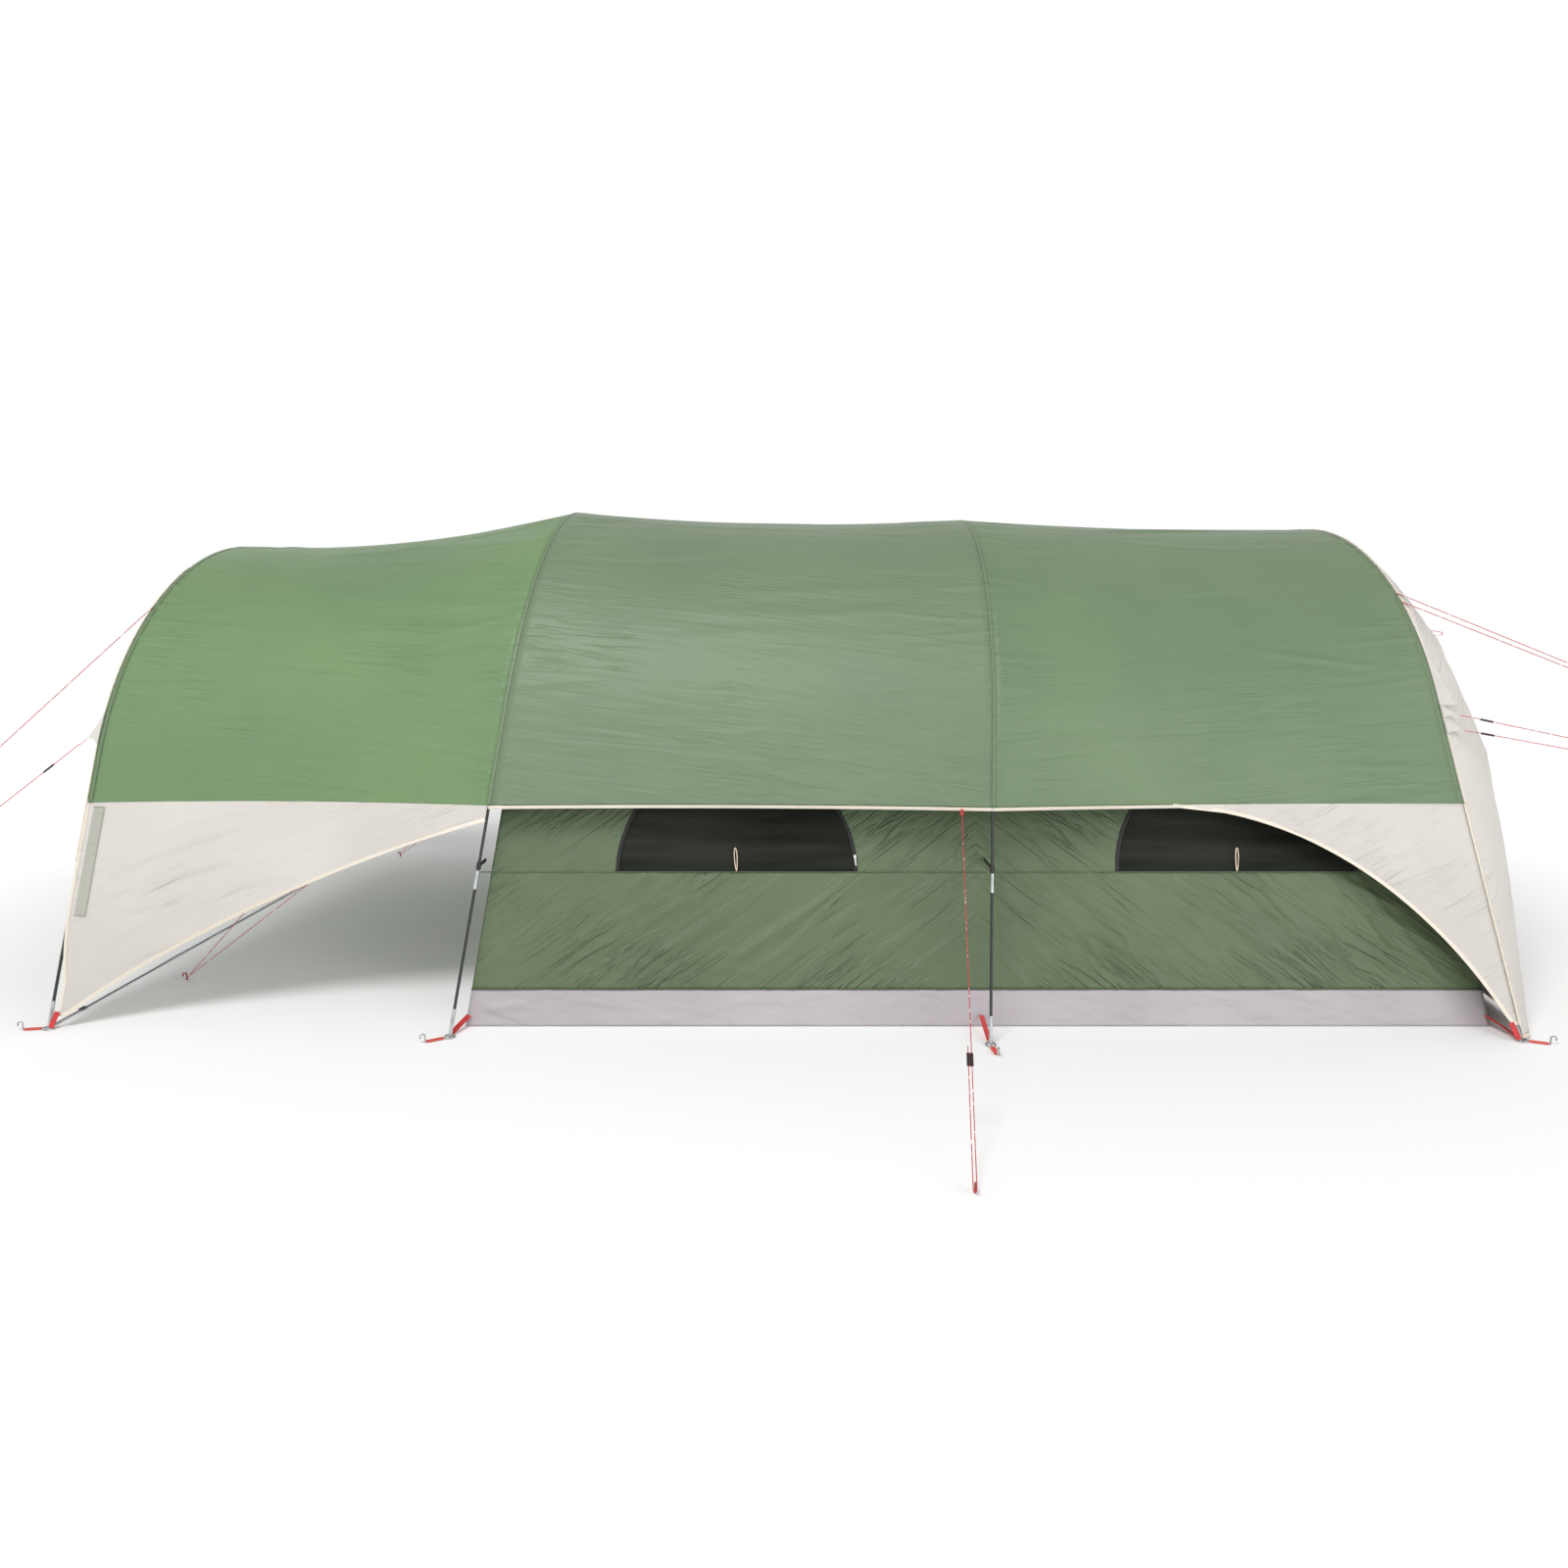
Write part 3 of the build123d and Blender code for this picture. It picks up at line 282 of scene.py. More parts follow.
guyLines = {
    "diameter": 0.003,
    "middleGuy": ("middle_guy", 1.90, "object", ["middle_runner"],
                  [(0.658, -1.351, 0.790), (0.5148, -2.539, 0.0158), (0.513, -2.554, 0.006),
                   (0.503, -2.553, 0.006),
                   (0.5048, -2.538, 0.0158), (0.5481, -2.1787, 0.250)]),
    "frontUpperGuy": ("front_upper_guy", 2.35, "knot", [],
                      [(-2.615, -0.808, 1.531), (-3.8726, -1.7294, 0.0185), (-3.883, -1.737, 0.006),
                       (-3.889, -1.729, 0.006),
                       (-3.8786, -1.7214, 0.0185), (-3.8022, -1.6654, 0.1104)]),
    "frontLowerGuy": ("front_lower_guy", 3.16, "object", ["front_runner"],
                      [(-2.705, -1.162, 1.031), (-3.7918, -1.7603, 0.0174), (-3.804, -1.767, 0.006),
                       (-3.809, -1.758, 0.006),
                       (-3.7968, -1.7513, 0.0174), (-2.7729, -1.1876, 0.9723)]),
    "rearUpperGuyA": ("rear_upper_guy_a", 0.655, "knot", [],
                      [(2.541, -0.809, 1.596), (3.003, -1.185, 1.323)]),
    "rearUpperGuyB": ("rear_upper_guy_b", 0.629, "knot", [],
                      [(2.544, -0.844, 1.561), (2.996, -1.200, 1.306)]),
    "rearLowerGuyA": ("rear_lower_guy_a", 0.356, "knot", ["rear_runner_a"],
                      [(2.642, -1.133, 1.132), (2.941, -1.313, 1.063)]),
    "rearLowerGuyB": ("rear_lower_guy_b", 0.336, "knot", ["rear_runner_b"],
                      [(2.649, -1.158, 1.077), (2.936, -1.325, 1.024)]),
    "porchGuyNear": ("porch_guy_near", 3.97, "object", [],
                     [(-1.036, -0.827, 1.617), (-2.5128, -0.9311, 0.0192), (-2.525, -0.932, 0.006),
                      (-2.525, -0.942, 0.006),
                      (-2.5106, -0.9441, 0.0166), (-1.112, -1.145, 1.047)]),
    "porchGuyFar": ("porch_guy_far", 3.91, "object", [],
                    [(-1.036, 0.832, 1.617), (-2.4444, 1.2932, 0.0192), (-2.456, 1.297, 0.006),
                     (-2.453, 1.307, 0.006),
                     (-2.4388, 1.3053, 0.017), (-1.113, 1.149, 1.047)]),
    "rearBridle": ("rear_bridle", 0.85, "object", [],
                   [(2.764, 0.0, 1.513), (3.2112, 0.0, 1.4399), (3.229, 0.0, 1.437), (3.229, 0.0, 1.427),
                    (3.2112, 0.0, 1.4243), (2.863, 0.0, 1.371)]),
}


def curveObject(name, points, radius, material):
    # a round cord on one open NURBS spline through its own control points
    data = bpy.data.curves.new(name, "CURVE")
    data.dimensions = "3D"
    data.bevel_depth = radius
    data.bevel_resolution = 3
    data.use_fill_caps = True
    spline = data.splines.new("NURBS")
    spline.points.add(len(points) - 1)
    for spot, point in zip(spline.points, points):
        spot.co = (*point, 1)
    spline.order_u = 3
    spline.use_endpoint_u = True
    spline.resolution_u = 20
    data.materials.append(material)
    made = bpy.data.objects.new(name, data)
    bpy.context.scene.collection.objects.link(made)
    return made


def gridMesh(name, grids, material, closedAcross=False, merge=0.0, flats=None, drop=None, thickness=0.0):
    # grids are arrays of points, rows by columns; each is joined up in quads
    places, quads, cloth, count = [], [], [], 0
    for i, grid in enumerate(grids):
        rows, columns = grid.shape[:2]
        index = np.arange(rows * columns).reshape(rows, columns) + count
        right = np.roll(index, -1, axis=1) if closedAcross else index[:, 1:]
        left = index if closedAcross else index[:, :-1]
        faces = np.stack([left[:-1], right[:-1], right[1:], left[1:]], -1).reshape(-1, 4)
        if drop is not None and drop[i] is not None:
            faces = faces[~drop[i].reshape(-1)]
        quads.append(faces)
        places.append(grid.reshape(-1, 3))
        if flats is not None:
            cloth.append(flats[i].reshape(-1, 2))
        count += rows * columns
    places, quads = np.concatenate(places), np.concatenate(quads)
    data = bpy.data.meshes.new(name)
    data.from_pydata(places.tolist(), [], quads.tolist())
    if flats is None:
        spread = places
    else:
        spread = np.concatenate(cloth)
        spread = np.concatenate([spread, np.zeros((len(spread), 1))], 1)
    attribute = data.attributes.new("clothAt", "FLOAT_VECTOR", "POINT")
    attribute.data.foreach_set("vector", spread.astype(np.float32).ravel())
    if merge or drop is not None:
        work = bmesh.new()
        work.from_mesh(data)
        bmesh.ops.delete(work, geom=[v for v in work.verts if not v.link_faces], context="VERTS")
        if merge:
            bmesh.ops.remove_doubles(work, verts=work.verts, dist=merge)
            bmesh.ops.recalc_face_normals(work, faces=work.faces)
        work.to_mesh(data)
        work.free()
    data.polygons.foreach_set("use_smooth", np.ones(len(data.polygons), bool))
    data.update()
    data.materials.append(material)
    made = bpy.data.objects.new(name, data)
    bpy.context.scene.collection.objects.link(made)
    if thickness:
        solid = made.modifiers.new("clothThickness", "SOLIDIFY")
        solid.thickness = thickness
        solid.offset = 0
    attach(made, home)
    return made


def along(path):
    # unit direction at each point of a path
    run = np.gradient(path, axis=0)
    return run / np.linalg.norm(run, axis=1, keepdims=True)


def tubeGrid(path, radius, sides=10, hint=(0, 0, 1), ends=True):
    # a circle of the given radius carried along a path; radius may vary along it
    run = along(path)
    side = np.cross(run, np.asarray(hint, float))
    side /= np.maximum(np.linalg.norm(side, axis=1, keepdims=True), 1e-9)
    up = np.cross(side, run)
    radius = np.broadcast_to(radius, len(path)).astype(float)
    if ends:  # closed with a small round end
        path = np.concatenate([path[:1], path, path[-1:]])
        radius = np.concatenate([[1e-5], radius, [1e-5]])
        side, up = (np.concatenate([a[:1], a, a[-1:]]) for a in (side, up))
    turn = np.linspace(0, 2 * np.pi, sides, endpoint=False)
    ring = side[:, None] * np.cos(turn)[None, :, None] + up[:, None] * np.sin(turn)[None, :, None]
    return path[:, None] + ring * radius[:, None, None]


def ribbonGrid(path, across, width, thick):
    # a flat strap with rounded edges carried along a path; across is its width direction
    run = along(path)
    across = np.broadcast_to(across, path.shape).astype(float)
    across = across - run * (across * run).sum(1, keepdims=True)
    across /= np.linalg.norm(across, axis=1, keepdims=True)
    face = np.cross(run, across)
    turn = np.linspace(0, 2 * np.pi, 16, endpoint=False)
    flat = np.sign(np.cos(turn)) * np.abs(np.cos(turn)) ** 0.3 * width / 2
    high = np.sign(np.sin(turn)) * np.abs(np.sin(turn)) ** 0.6 * thick / 2
    body = path[:, None] + across[:, None] * flat[None, :, None] + face[:, None] * high[None, :, None]
    ends = [np.repeat(p[None, None], 16, axis=1) for p in (path[0], path[-1])]
    return np.concatenate([ends[0], body, ends[1]])


def steps(points, count):
    # evenly spaced points along straight runs
    points = np.asarray(points, float)
    lengths = np.concatenate([[0], np.cumsum(np.linalg.norm(np.diff(points, axis=0), axis=1))])
    where = np.linspace(0, lengths[-1], count)
    return np.stack([np.interp(where, lengths, points[:, k]) for k in range(3)], -1)


def knotGrid(centre, size, cordRadius):
    # overhand knot: a trefoil line, closed, with the cord's own thickness
    t = np.linspace(0, 2 * np.pi, 60)
    path = np.stack([np.sin(t) + 2 * np.sin(2 * t), np.cos(t) - 2 * np.cos(2 * t), -np.sin(3 * t)], -1)
    return tubeGrid(np.asarray(centre) + path * size / 6, cordRadius, 8, hint=(0.3, 0.2, 1), ends=False)


for name, (cadName, length, farEnd, others, points) in ((k, v) for k,
                                                        v in guyLines.items() if k != "diameter"):
    points = settled(points)
    line = curveObject(name, points, guyLines["diameter"] / 2, finishes["guyCord"])
    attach(line, home)
    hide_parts(cadName)
    if farEnd == "knot":
        knot = gridMesh(name + "Knot", [knotGrid(points[-1], 0.011, 0.0015)], finishes["guyCord"],
                        closedAcross=True)
print("guy lines laid")


# ---- shape of the arches and of the cloth over them

arches = [
    {"x": -2.740, "half": 1.450, "rise": 1.833, "lean": 0.168, "splay": 17.0},
    {"x": -1.220, "half": 1.530, "rise": 1.990, "lean": 0.250, "splay": 19.0},
    {"x": 0.740, "half": 1.600, "rise": 1.955, "lean": 0.090, "splay": 19.0},
    {"x": 2.670, "half": 1.560, "rise": 1.912, "lean": -0.180, "splay": 23.0},
]
for arch in arches:
    arch["x"] -= centreX
fly = {
    "sag": [0.058, 0.034, 0.018], "gap": 0.011, "eave": 0.815, "thickness": 0.0012, "columns": 49, "rows": 640,
    "seamFlat": 0.04, "creaseLength": 4.2, "easeAcross": 1.04, "easeAlong": 1.01,
}
binding = {"width": 0.014, "thick": 0.0028, "frontWidth": 0.010}


def archShape(arch):
    # slope of the legs, rise in the leaning plane, radius of the bow and height of its centre
    slope = np.radians(arch["splay"])
    rise = np.hypot(arch["rise"], arch["lean"])
    radius = (arch["half"] * np.cos(slope) - rise * np.sin(slope)) / (1 - np.sin(slope))
    return slope, rise, radius, rise - radius


def acrossBay(bay, share):
    # arch values part of the way between two arches, with the cloth's inward sag there
    front, back = arches[bay], arches[bay + 1]
    mixed = {key: front[key] + (back[key] - front[key]) * share for key in front}
    return mixed, -fly["sag"][bay] * 4 * share * (1 - share)


def stand(arch, y, height):
    # a point of the leaning plane, in the row frame
    rise = archShape(arch)[1]
    x = arch["x"] + height * arch["lean"] / rise
    return np.stack(np.broadcast_arrays(x, y, height * arch["rise"] / rise), -1)


def overArch(arch, offset, low, share):
    # leg, bow and leg set outward by offset, share 0 to 1 from the near side's low to the far side's
    slope, rise, radius, centre = archShape(arch)
    reach = radius + offset
    leg = (centre + reach * np.sin(slope) - low) / np.cos(slope)
    total = 2 * leg + reach * (np.pi - 2 * slope)
    gone = share * total
    left = total - gone
    start = -reach * np.cos(slope) - leg * np.sin(slope)
    turn = np.pi - slope - (gone - leg) / reach
    near, far = gone < leg, left < leg
    y = np.where(near, start + gone * np.sin(slope),
                 np.where(far, -start - left * np.sin(slope), reach * np.cos(turn)))
    z = np.where(near, low + gone * np.cos(slope),
                 np.where(far, low + left * np.cos(slope), centre + reach * np.sin(turn)))
    return stand(arch, y, z), total


def onLeg(arch, offset, height):
    # point of the near leg's line, set outward by offset
    slope = np.radians(arch["splay"])
    return stand(arch, -arch["half"] - offset / np.cos(slope) + height * np.tan(slope), height)


def creases(u, v, rows):
    # each row is a shallow fold: place, direction, half length, width, height and bow of its line
    total = np.zeros(u.shape)
    for u0, v0, turn, reach, width, height, bow in rows:
        run = (u - u0) * math.cos(turn) + (v - v0) * math.sin(turn)
        off = (v - v0) * math.cos(turn) - (u - u0) * math.sin(turn) - bow * run**2
        fade = np.cos(np.clip(run / reach, -1, 1) * np.pi / 2) ** 2
        total += height * fade * (np.exp(-((off / width) ** 2)) - 0.45 * np.exp(-((off / (2.4 * width)) ** 2)))
    return total


def randomCreases(count, u, v, turn, reach, width, height):
    # rows for creases(), each value drawn evenly from its (low, high)
    spans = (u, v, turn, reach, width, height, (-0.35, 0.35))
    return [[chance.uniform(*span) for span in spans] for _ in range(count)]


def raised(grid, height, outward):
    # the grid moved along its own normal by height, to the side that outward(grid) points to
    du, dv = np.gradient(grid, axis=0), np.gradient(grid, axis=1)
    normal = np.cross(du, dv)
    normal /= np.maximum(np.linalg.norm(normal, axis=2, keepdims=True), 1e-12)
    if (normal * outward(grid)).sum() < 0:
        normal = -normal
    return grid + normal * height[..., None]


def fromRidge(grid):
    # roughly outwards for the tent's skin
    return grid * np.array([0, 1, 1]) - np.array([0, 0, 0.6])


def facesIn(grid, outward):
    # true where the grid's normal, its columns' run crossed with its rows', points against outward
    return (np.cross(np.gradient(grid, axis=1), np.gradient(grid, axis=0)) * outward).sum() < 0


def onSide(grid, side):
    # a near side shape as it is for side -1, and mirrored across the middle for side 1
    return grid * np.array([1, -side, 1])


def flyRoof(name, bay, material, rows):
    # one bay's cloth: the two arches' shapes mixed across it, hung in by the sag and pushed out by its creases
    share, over = np.meshgrid(np.linspace(0, 1, fly["columns"]), np.linspace(0, 1, fly["rows"]),
                              indexing="ij")
    arch, inset = acrossBay(bay, share)
    grid, total = overArch(arch, fly["gap"] + inset, fly["eave"], over)
    width = float(arches[bay + 1]["x"] - arches[bay]["x"])
    u, v = share * width, over * total
    edge = np.clip(np.minimum(u, width - u) / fly["seamFlat"], 0, 1)  # flat where the seams are sewn
    grid = raised(grid, creases(u, v, rows) * edge, fromRidge)
    flat = np.stack([u + 3 * bay, v], -1)
    if facesIn(grid, fromRidge(grid)):
        grid, flat = grid[:, ::-1], flat[:, ::-1]
    made = gridMesh(name, [grid], material, flats=[flat], thickness=fly["thickness"])
    return made


def roofCreases(width, total):
    # fans at both seams, a few long pulls over the crown, and short ones along the eaves
    rows = []
    for low, high in ((0.1, 0.5), (0.5, 0.9)):
        span = (low * total, high * total)
        rows += randomCreases(26, (-0.02, 0.2), span, (-0.35, 0.15), (0.12, 0.45), (0.009, 0.02),
                              (0.002, 0.006))
        rows += randomCreases(26, (width - 0.25, width + 0.02), span, (-0.15, 0.35), (0.12, 0.45),
                              (0.009, 0.02), (0.002, 0.0055))
        rows += randomCreases(12, (0.2, width - 0.2), span, (-0.18, 0.18), (0.3, 0.8), (0.016, 0.04),
                              (0.003, 0.008))
    for edge in ((0.03, 0.3), (total - 0.3, total - 0.03)):
        rows += randomCreases(22, (0.05, width - 0.05), edge, (-0.25, 0.25), (0.06, 0.25), (0.008, 0.016),
                              (0.0015, 0.004))
    return rows


for name, cadName, bay, finish in (
    ("flyRoofFront", "fly_roof_front", 0, "porchFly"),
    ("flyRoofMiddle", "fly_roof_middle", 1, "fly"),
    ("flyRoofRear", "fly_roof_rear", 2, "rearFly"),
):
    rows = roofCreases(arches[bay + 1]["x"] - arches[bay]["x"], fly["creaseLength"])
    roof = flyRoof(name, bay, finishes[finish], rows)
    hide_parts(cadName)
print("fly roof made")

# side panels below the eave, cut away in a hollow curve
sidePanels = {
    "porchSide": {"bay": 0, "front": (-2.702, 0.052), "middle": (-1.880, 0.490), "back": (-1.100, 0.772),
                  "toBack": True,
                  "flat": (1.68, 0.82)},
    "rearSide": {"bay": 2, "front": (1.660, 0.790), "middle": (2.205, 0.558), "back": (2.640, 0.060),
                 "toBack": False,
                 "flat": (1.03, 0.82)},
    "columns": 120, "rows": 60, "foot": 0.032, "tongue": 0.22,
    "freeFrom": 0.46, "drawnBack": 0.021,
}


def circleThrough(a, b, c):
    # centre and radius of the circle through three points of the XZ plane
    m = np.array([[b[0] - a[0], b[1] - a[1]], [c[0] - a[0], c[1] - a[1]]])
    r = np.array([(b[0] ** 2 - a[0] ** 2 + b[1] ** 2 - a[1] ** 2) / 2,
                  (c[0] ** 2 - a[0] ** 2 + c[1] ** 2 - a[1] ** 2) / 2])
    centre = np.linalg.solve(m, r)
    return centre, math.hypot(a[0] - centre[0], a[1] - centre[1])


def hollowEdge(panel, share):
    # height of the panel's lower edge at each share of the bay
    a, b, c = (panel[k] for k in ("front", "middle", "back"))
    centre, radius = circleThrough(a, b, c)
    arch, inset = acrossBay(panel["bay"], share)
    height = np.full(share.shape, 0.4)
    for _ in range(12):  # the plane leans, so the place along X moves with the height
        x = arch["x"] + centreX + height * arch["lean"] / archShape(arch)[1]
        curve = centre[1] + np.sqrt(np.maximum(radius**2 - (x - centre[0]) ** 2, 0))
        # in front of the curve the edge runs out along the eave in a thin tongue
        tongue = a[1] + np.clip((a[0] - x) / sidePanels["tongue"], 0,
                                1) * (fly["eave"] - a[1]) * (not panel["toBack"])
        level = np.where(x < a[0], tongue, np.where(x > c[0], c[1], curve))
        height = 0.5 * height + 0.5 * np.maximum(level, sidePanels["foot"])
    return height


def sideCreases(panel):
    # long soft pulls fanning out from the upper corner to the foot
    if panel["toBack"]:
        rows = randomCreases(26, (0.2, 1.3), (0.1, 0.75), (0.25, 0.55), (0.3, 0.75), (0.014, 0.035),
                             (0.004, 0.011))
        return rows + randomCreases(14, (0.0, 0.5), (0.0, 0.5), (0.7, 1.2), (0.15, 0.4), (0.012, 0.025),
                                    (0.003, 0.006))
    return randomCreases(16, (0.9, 1.8), (0.1, 0.8), (-1.2, -0.6), (0.2, 0.5), (0.02, 0.05), (0.003, 0.008))


def sidePanel(name, cadName, panel, side, rows):
    # the leg's own line carried from the hollow lower edge up to the eave
    share = np.linspace(0.002, 0.998, sidePanels["columns"])
    low = hollowEdge(panel, share)
    if not panel["toBack"]:
        keep = low < fly["eave"] - 0.003
        share, low = share[keep], low[keep]
    else:
        low = np.minimum(low, fly["eave"] - 0.004)
    share, up = np.meshgrid(share, np.linspace(0, 1, sidePanels["rows"]), indexing="ij")
    height = low[:, None] + (fly["eave"] - 0.0005 - low[:, None]) * up
    if panel["toBack"]:  # near the foot the front edge draws back from the pole
        back = np.clip((sidePanels["freeFrom"] - height) / 0.3, 0, 1)
        share = share + sidePanels["drawnBack"] * back * back * (1 - share) ** 10
    arch, inset = acrossBay(panel["bay"], share)
    grid = onLeg(arch, fly["gap"] + inset, height)
    width = arches[panel["bay"] + 1]["x"] - arches[panel["bay"]]["x"]
    flat = np.stack([share * width, height], -1)
    fade = np.clip((1 - up) * 12, 0, 1) * np.clip(up * 12, 0.2,
                                                  1) * np.clip(np.minimum(share, 1 - share) * 14 - 0.6, 0, 1)
    grid = raised(grid, creases(flat[..., 0], flat[..., 1], rows) * fade, fromRidge)
    grid = onSide(grid, side)
    if facesIn(grid, fromRidge(grid)):
        grid, flat = grid[:, ::-1], flat[:, ::-1]
    made = gridMesh(name, [grid], finishes["cream"], flats=[flat], thickness=fly["thickness"])
    # folded tape along the lower edge, and a narrower one down the porch's front edge
    edge = grid[:, 0] if grid[0, 0, 2] < grid[0, -1, 2] else grid[:, -1]
    hems = [ribbonGrid(edge, (0, 0.35, 1), binding["width"], binding["thick"])]
    if panel["toBack"]:
        front = min(grid[0], grid[-1], key=lambda line: abs(line[:, 0] - arches[0]["x"]).mean())
        hems.append(ribbonGrid(front, (1, 0, 0), binding["frontWidth"], binding["thick"]))
    hem = gridMesh(name + "Hem", hems, finishes["binding"], closedAcross=True)
    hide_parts(cadName)
    return made


for place in ("porch", "rear"):
    rows = sideCreases(sidePanels[place + "Side"])
    for side, which in ((-1, "near"), (1, "far")):
        sidePanel(f"{place}Side{which.title()}", f"{place}_side_{which}", sidePanels[place + "Side"], side,
                  rows)

# grey tape sewn along the front edge of the porch panels
greyTape = {"from": 0.40, "to": 0.80, "width": 0.045, "share": 0.028}
tapes = []
for side in (-1, 1):
    height = np.linspace(greyTape["from"], greyTape["to"], 30)
    arch, inset = acrossBay(0, np.full(30, greyTape["share"]))
    path = onSide(onLeg(arch, fly["gap"] + 0.0022 + inset, height), side)
    tapes.append(ribbonGrid(path, (1, 0, 0), greyTape["width"], 0.001))
made = gridMesh("porchTape", tapes, finishes["greyTape"], closedAcross=True)
print("side panels made")

# domed rear end, from horizontal half ellipses behind the rear arch
dome = {"bulge": 0.430, "rim": 0.034, "foot": 0.018, "columns": 120, "rows": 110, "gap": 0.0105,
        "flat": (3.6, 2.1)}


def rearDome():
    # at each height a half ellipse as wide as the arch, whose depth swells towards the middle of the height
    arch = arches[3]
    slope, rise, radius, centre = archShape(arch)
    stretch = rise / arch["rise"]
    reach = radius + dome["gap"]
    bend = centre + reach * np.sin(slope)
    crown = (centre + reach) / stretch
    share, turn = np.meshgrid(np.linspace(0, 0.994, dome["rows"]), np.linspace(0, np.pi, dome["columns"]),
                              indexing="ij")
    z = dome["foot"] + (crown - dome["foot"]) * share
    height = z * stretch
    leg = arch["half"] + dome["gap"] / np.cos(slope) - height * np.tan(slope)
    bow = np.sqrt(np.maximum(reach**2 - (height - centre) ** 2, 0))
    width = np.where(height > bend, bow, leg)
    swell = 0.28 + 0.72 * np.sin(np.radians(180 * np.minimum(1, share + 0.08)))
    bulge = dome["bulge"] * swell * (1 - share**6) + dome["rim"]
    x = arch["x"] + arch["lean"] * z / arch["rise"] + bulge * np.sin(turn)
    grid = np.stack([x, -width * np.cos(turn), z], -1)
    flat = np.stack([turn * 0.9, z], -1)
    rows = randomCreases(30, (0.2, 2.6), (0.3, 1.6), (0.9, 2.2), (0.2, 0.6), (0.02, 0.05), (0.004, 0.011))
    rows += randomCreases(20, (0.0, 2.8), (0.02, 0.25), (-0.3, 0.3), (0.1, 0.4), (0.012, 0.03),
                          (0.0015, 0.004))
    outward = lambda g: g - np.array([arch["x"] - 0.6, 0, 0.8])
    fade = np.clip(np.sin(turn) * 6, 0, 1)
    grid = raised(grid, creases(flat[..., 0], flat[..., 1], rows) * fade, outward)
    # the crown is closed by rows that run from the last one to the arch itself
    top = grid[-1]
    rim = (centre + np.sqrt(np.maximum(reach**2 - top[:, 1] ** 2, 0))) / stretch
    crest = np.stack([arch["x"] + arch["lean"] * rim / arch["rise"], top[:, 1], rim], -1)
    cap = top + (crest - top) * np.linspace(0, 1, 5)[1:, None, None]
    grid = np.concatenate([grid, cap])
    flat = np.concatenate([flat, np.repeat(flat[-1:], 4, axis=0) + np.array([0, 0.01])])
    if facesIn(grid, outward(grid)):
        grid, flat = grid[:, ::-1], flat[:, ::-1]
    made = gridMesh("rearDome", [grid], finishes["cream"], flats=[flat], thickness=fly["thickness"])
    edge = ribbonGrid(grid[0], (0, 0, 1), binding["width"], binding["thick"])
    hem = gridMesh("rearDomeHem", [edge], finishes["binding"], closedAcross=True)
    # seams of the three panels that make up the dome
    seams = [tubeGrid(grid[2:-2, k] + (grid[2:-2, k] - np.array([arch["x"], 0, 0.8])) * 0.0012, 0.0022, 8,
                      (0, 1, 0))
             for k in (int(dome["columns"] * 0.2), int(dome["columns"] * 0.8))]
    seam = gridMesh("rearDomeSeams", seams, finishes["binding"], closedAcross=True)
    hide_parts("rear_dome_panel")


rearDome()

# pole sleeves under the fly, gathered a little along their length, and flat-felled seams over them
sleeves = {"radius": 0.0082, "gather": 0.0004, "start": 0.821, "seamWidth": 0.010}
made = gridMesh(
    "poleSleeves",
    [
        tubeGrid(overArch(arch, 0.0, sleeves["start"], np.linspace(0, 1, 420))[0],
                 sleeves["radius"] + sleeves["gather"] * np.sin(np.linspace(0, 260, 420)), 12, (1, 0, 0), ends=False)
        for arch in arches
    ],
    finishes["sleeve"], closedAcross=True, thickness=0.0006,
)
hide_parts("pole_sleeves")
seams = [
    ribbonGrid(overArch(arch, fly["gap"] + 0.0008, fly["eave"],
                        np.linspace(0.0, 1.0, 300))[0] + np.array([shift, 0, 0]),
               (1, 0, 0), sleeves["seamWidth"], 0.0009)
    for arch, shift in zip(arches, (0.012, 0.0, 0.0, -0.012))
]
made = gridMesh("archSeams", seams, finishes["seam"], closedAcross=True)

# cream piping down the rear legs and over the rear arch, and up the lower part of the front one
piping = []
for side in (-1, 1):
    path = onSide(onLeg(arches[3], fly["gap"] + 0.002, np.linspace(0.05, fly["eave"], 60)), side)
    piping.append(tubeGrid(path, 0.0035, 8, (1, 0, 0)))
path = overArch(arches[3], fly["gap"] + 0.001, fly["eave"], np.linspace(0, 1, 260))[0]
piping.append(tubeGrid(path + np.array([0.006, 0, 0]), 0.003, 8, (1, 0, 0)))
for first, last in ((0, 0.36), (0.64, 1)):
    path = overArch(arches[0], fly["gap"] + 0.001, 0.60, np.linspace(first, last, 160))[0]
    piping.append(tubeGrid(path - np.array([0.004, 0, 0]), 0.0025, 8, (1, 0, 0)))
made = gridMesh("edgePiping", piping, finishes["binding"], closedAcross=True)

# binding tape along the open eaves
eaveTape = {"drop": 0.0068, "width": 0.0135, "thick": 0.003}
bands = []
for side in (-1, 1):
    for bay, last in ((1, 1.0), (2, 0.49)):
        arch, inset = acrossBay(bay, np.linspace(0, last, 90))
        path = onSide(onLeg(arch, fly["gap"] + 0.001 + inset, fly["eave"] - eaveTape["drop"] + np.zeros(90)),
                      side)
        bands.append(ribbonGrid(path, (0, side * 0.33, 1), eaveTape["width"], eaveTape["thick"]))
made = gridMesh("eaveTapes", bands, finishes["binding"], closedAcross=True)
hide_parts("eave_tapes")
print("sleeves, seams and tapes made")


# ---- guy points

guyPoints = {
    "reach": 0.062, "clear": 0.0165, "front": 1.140, "frontHalf": 0.064, "frontPull": (-3.804, -1.767, 0.006),
    "rear": (1.250, 1.185), "rearHalf": 0.029, "rearPull": (3.770, -1.810, 0.870),
}
guyStrip = {"from": 1.27, "to": 1.62, "offset": 0.012, "least": 0.004, "most": 0.05, "taper": 1.6,
            "count": 40}


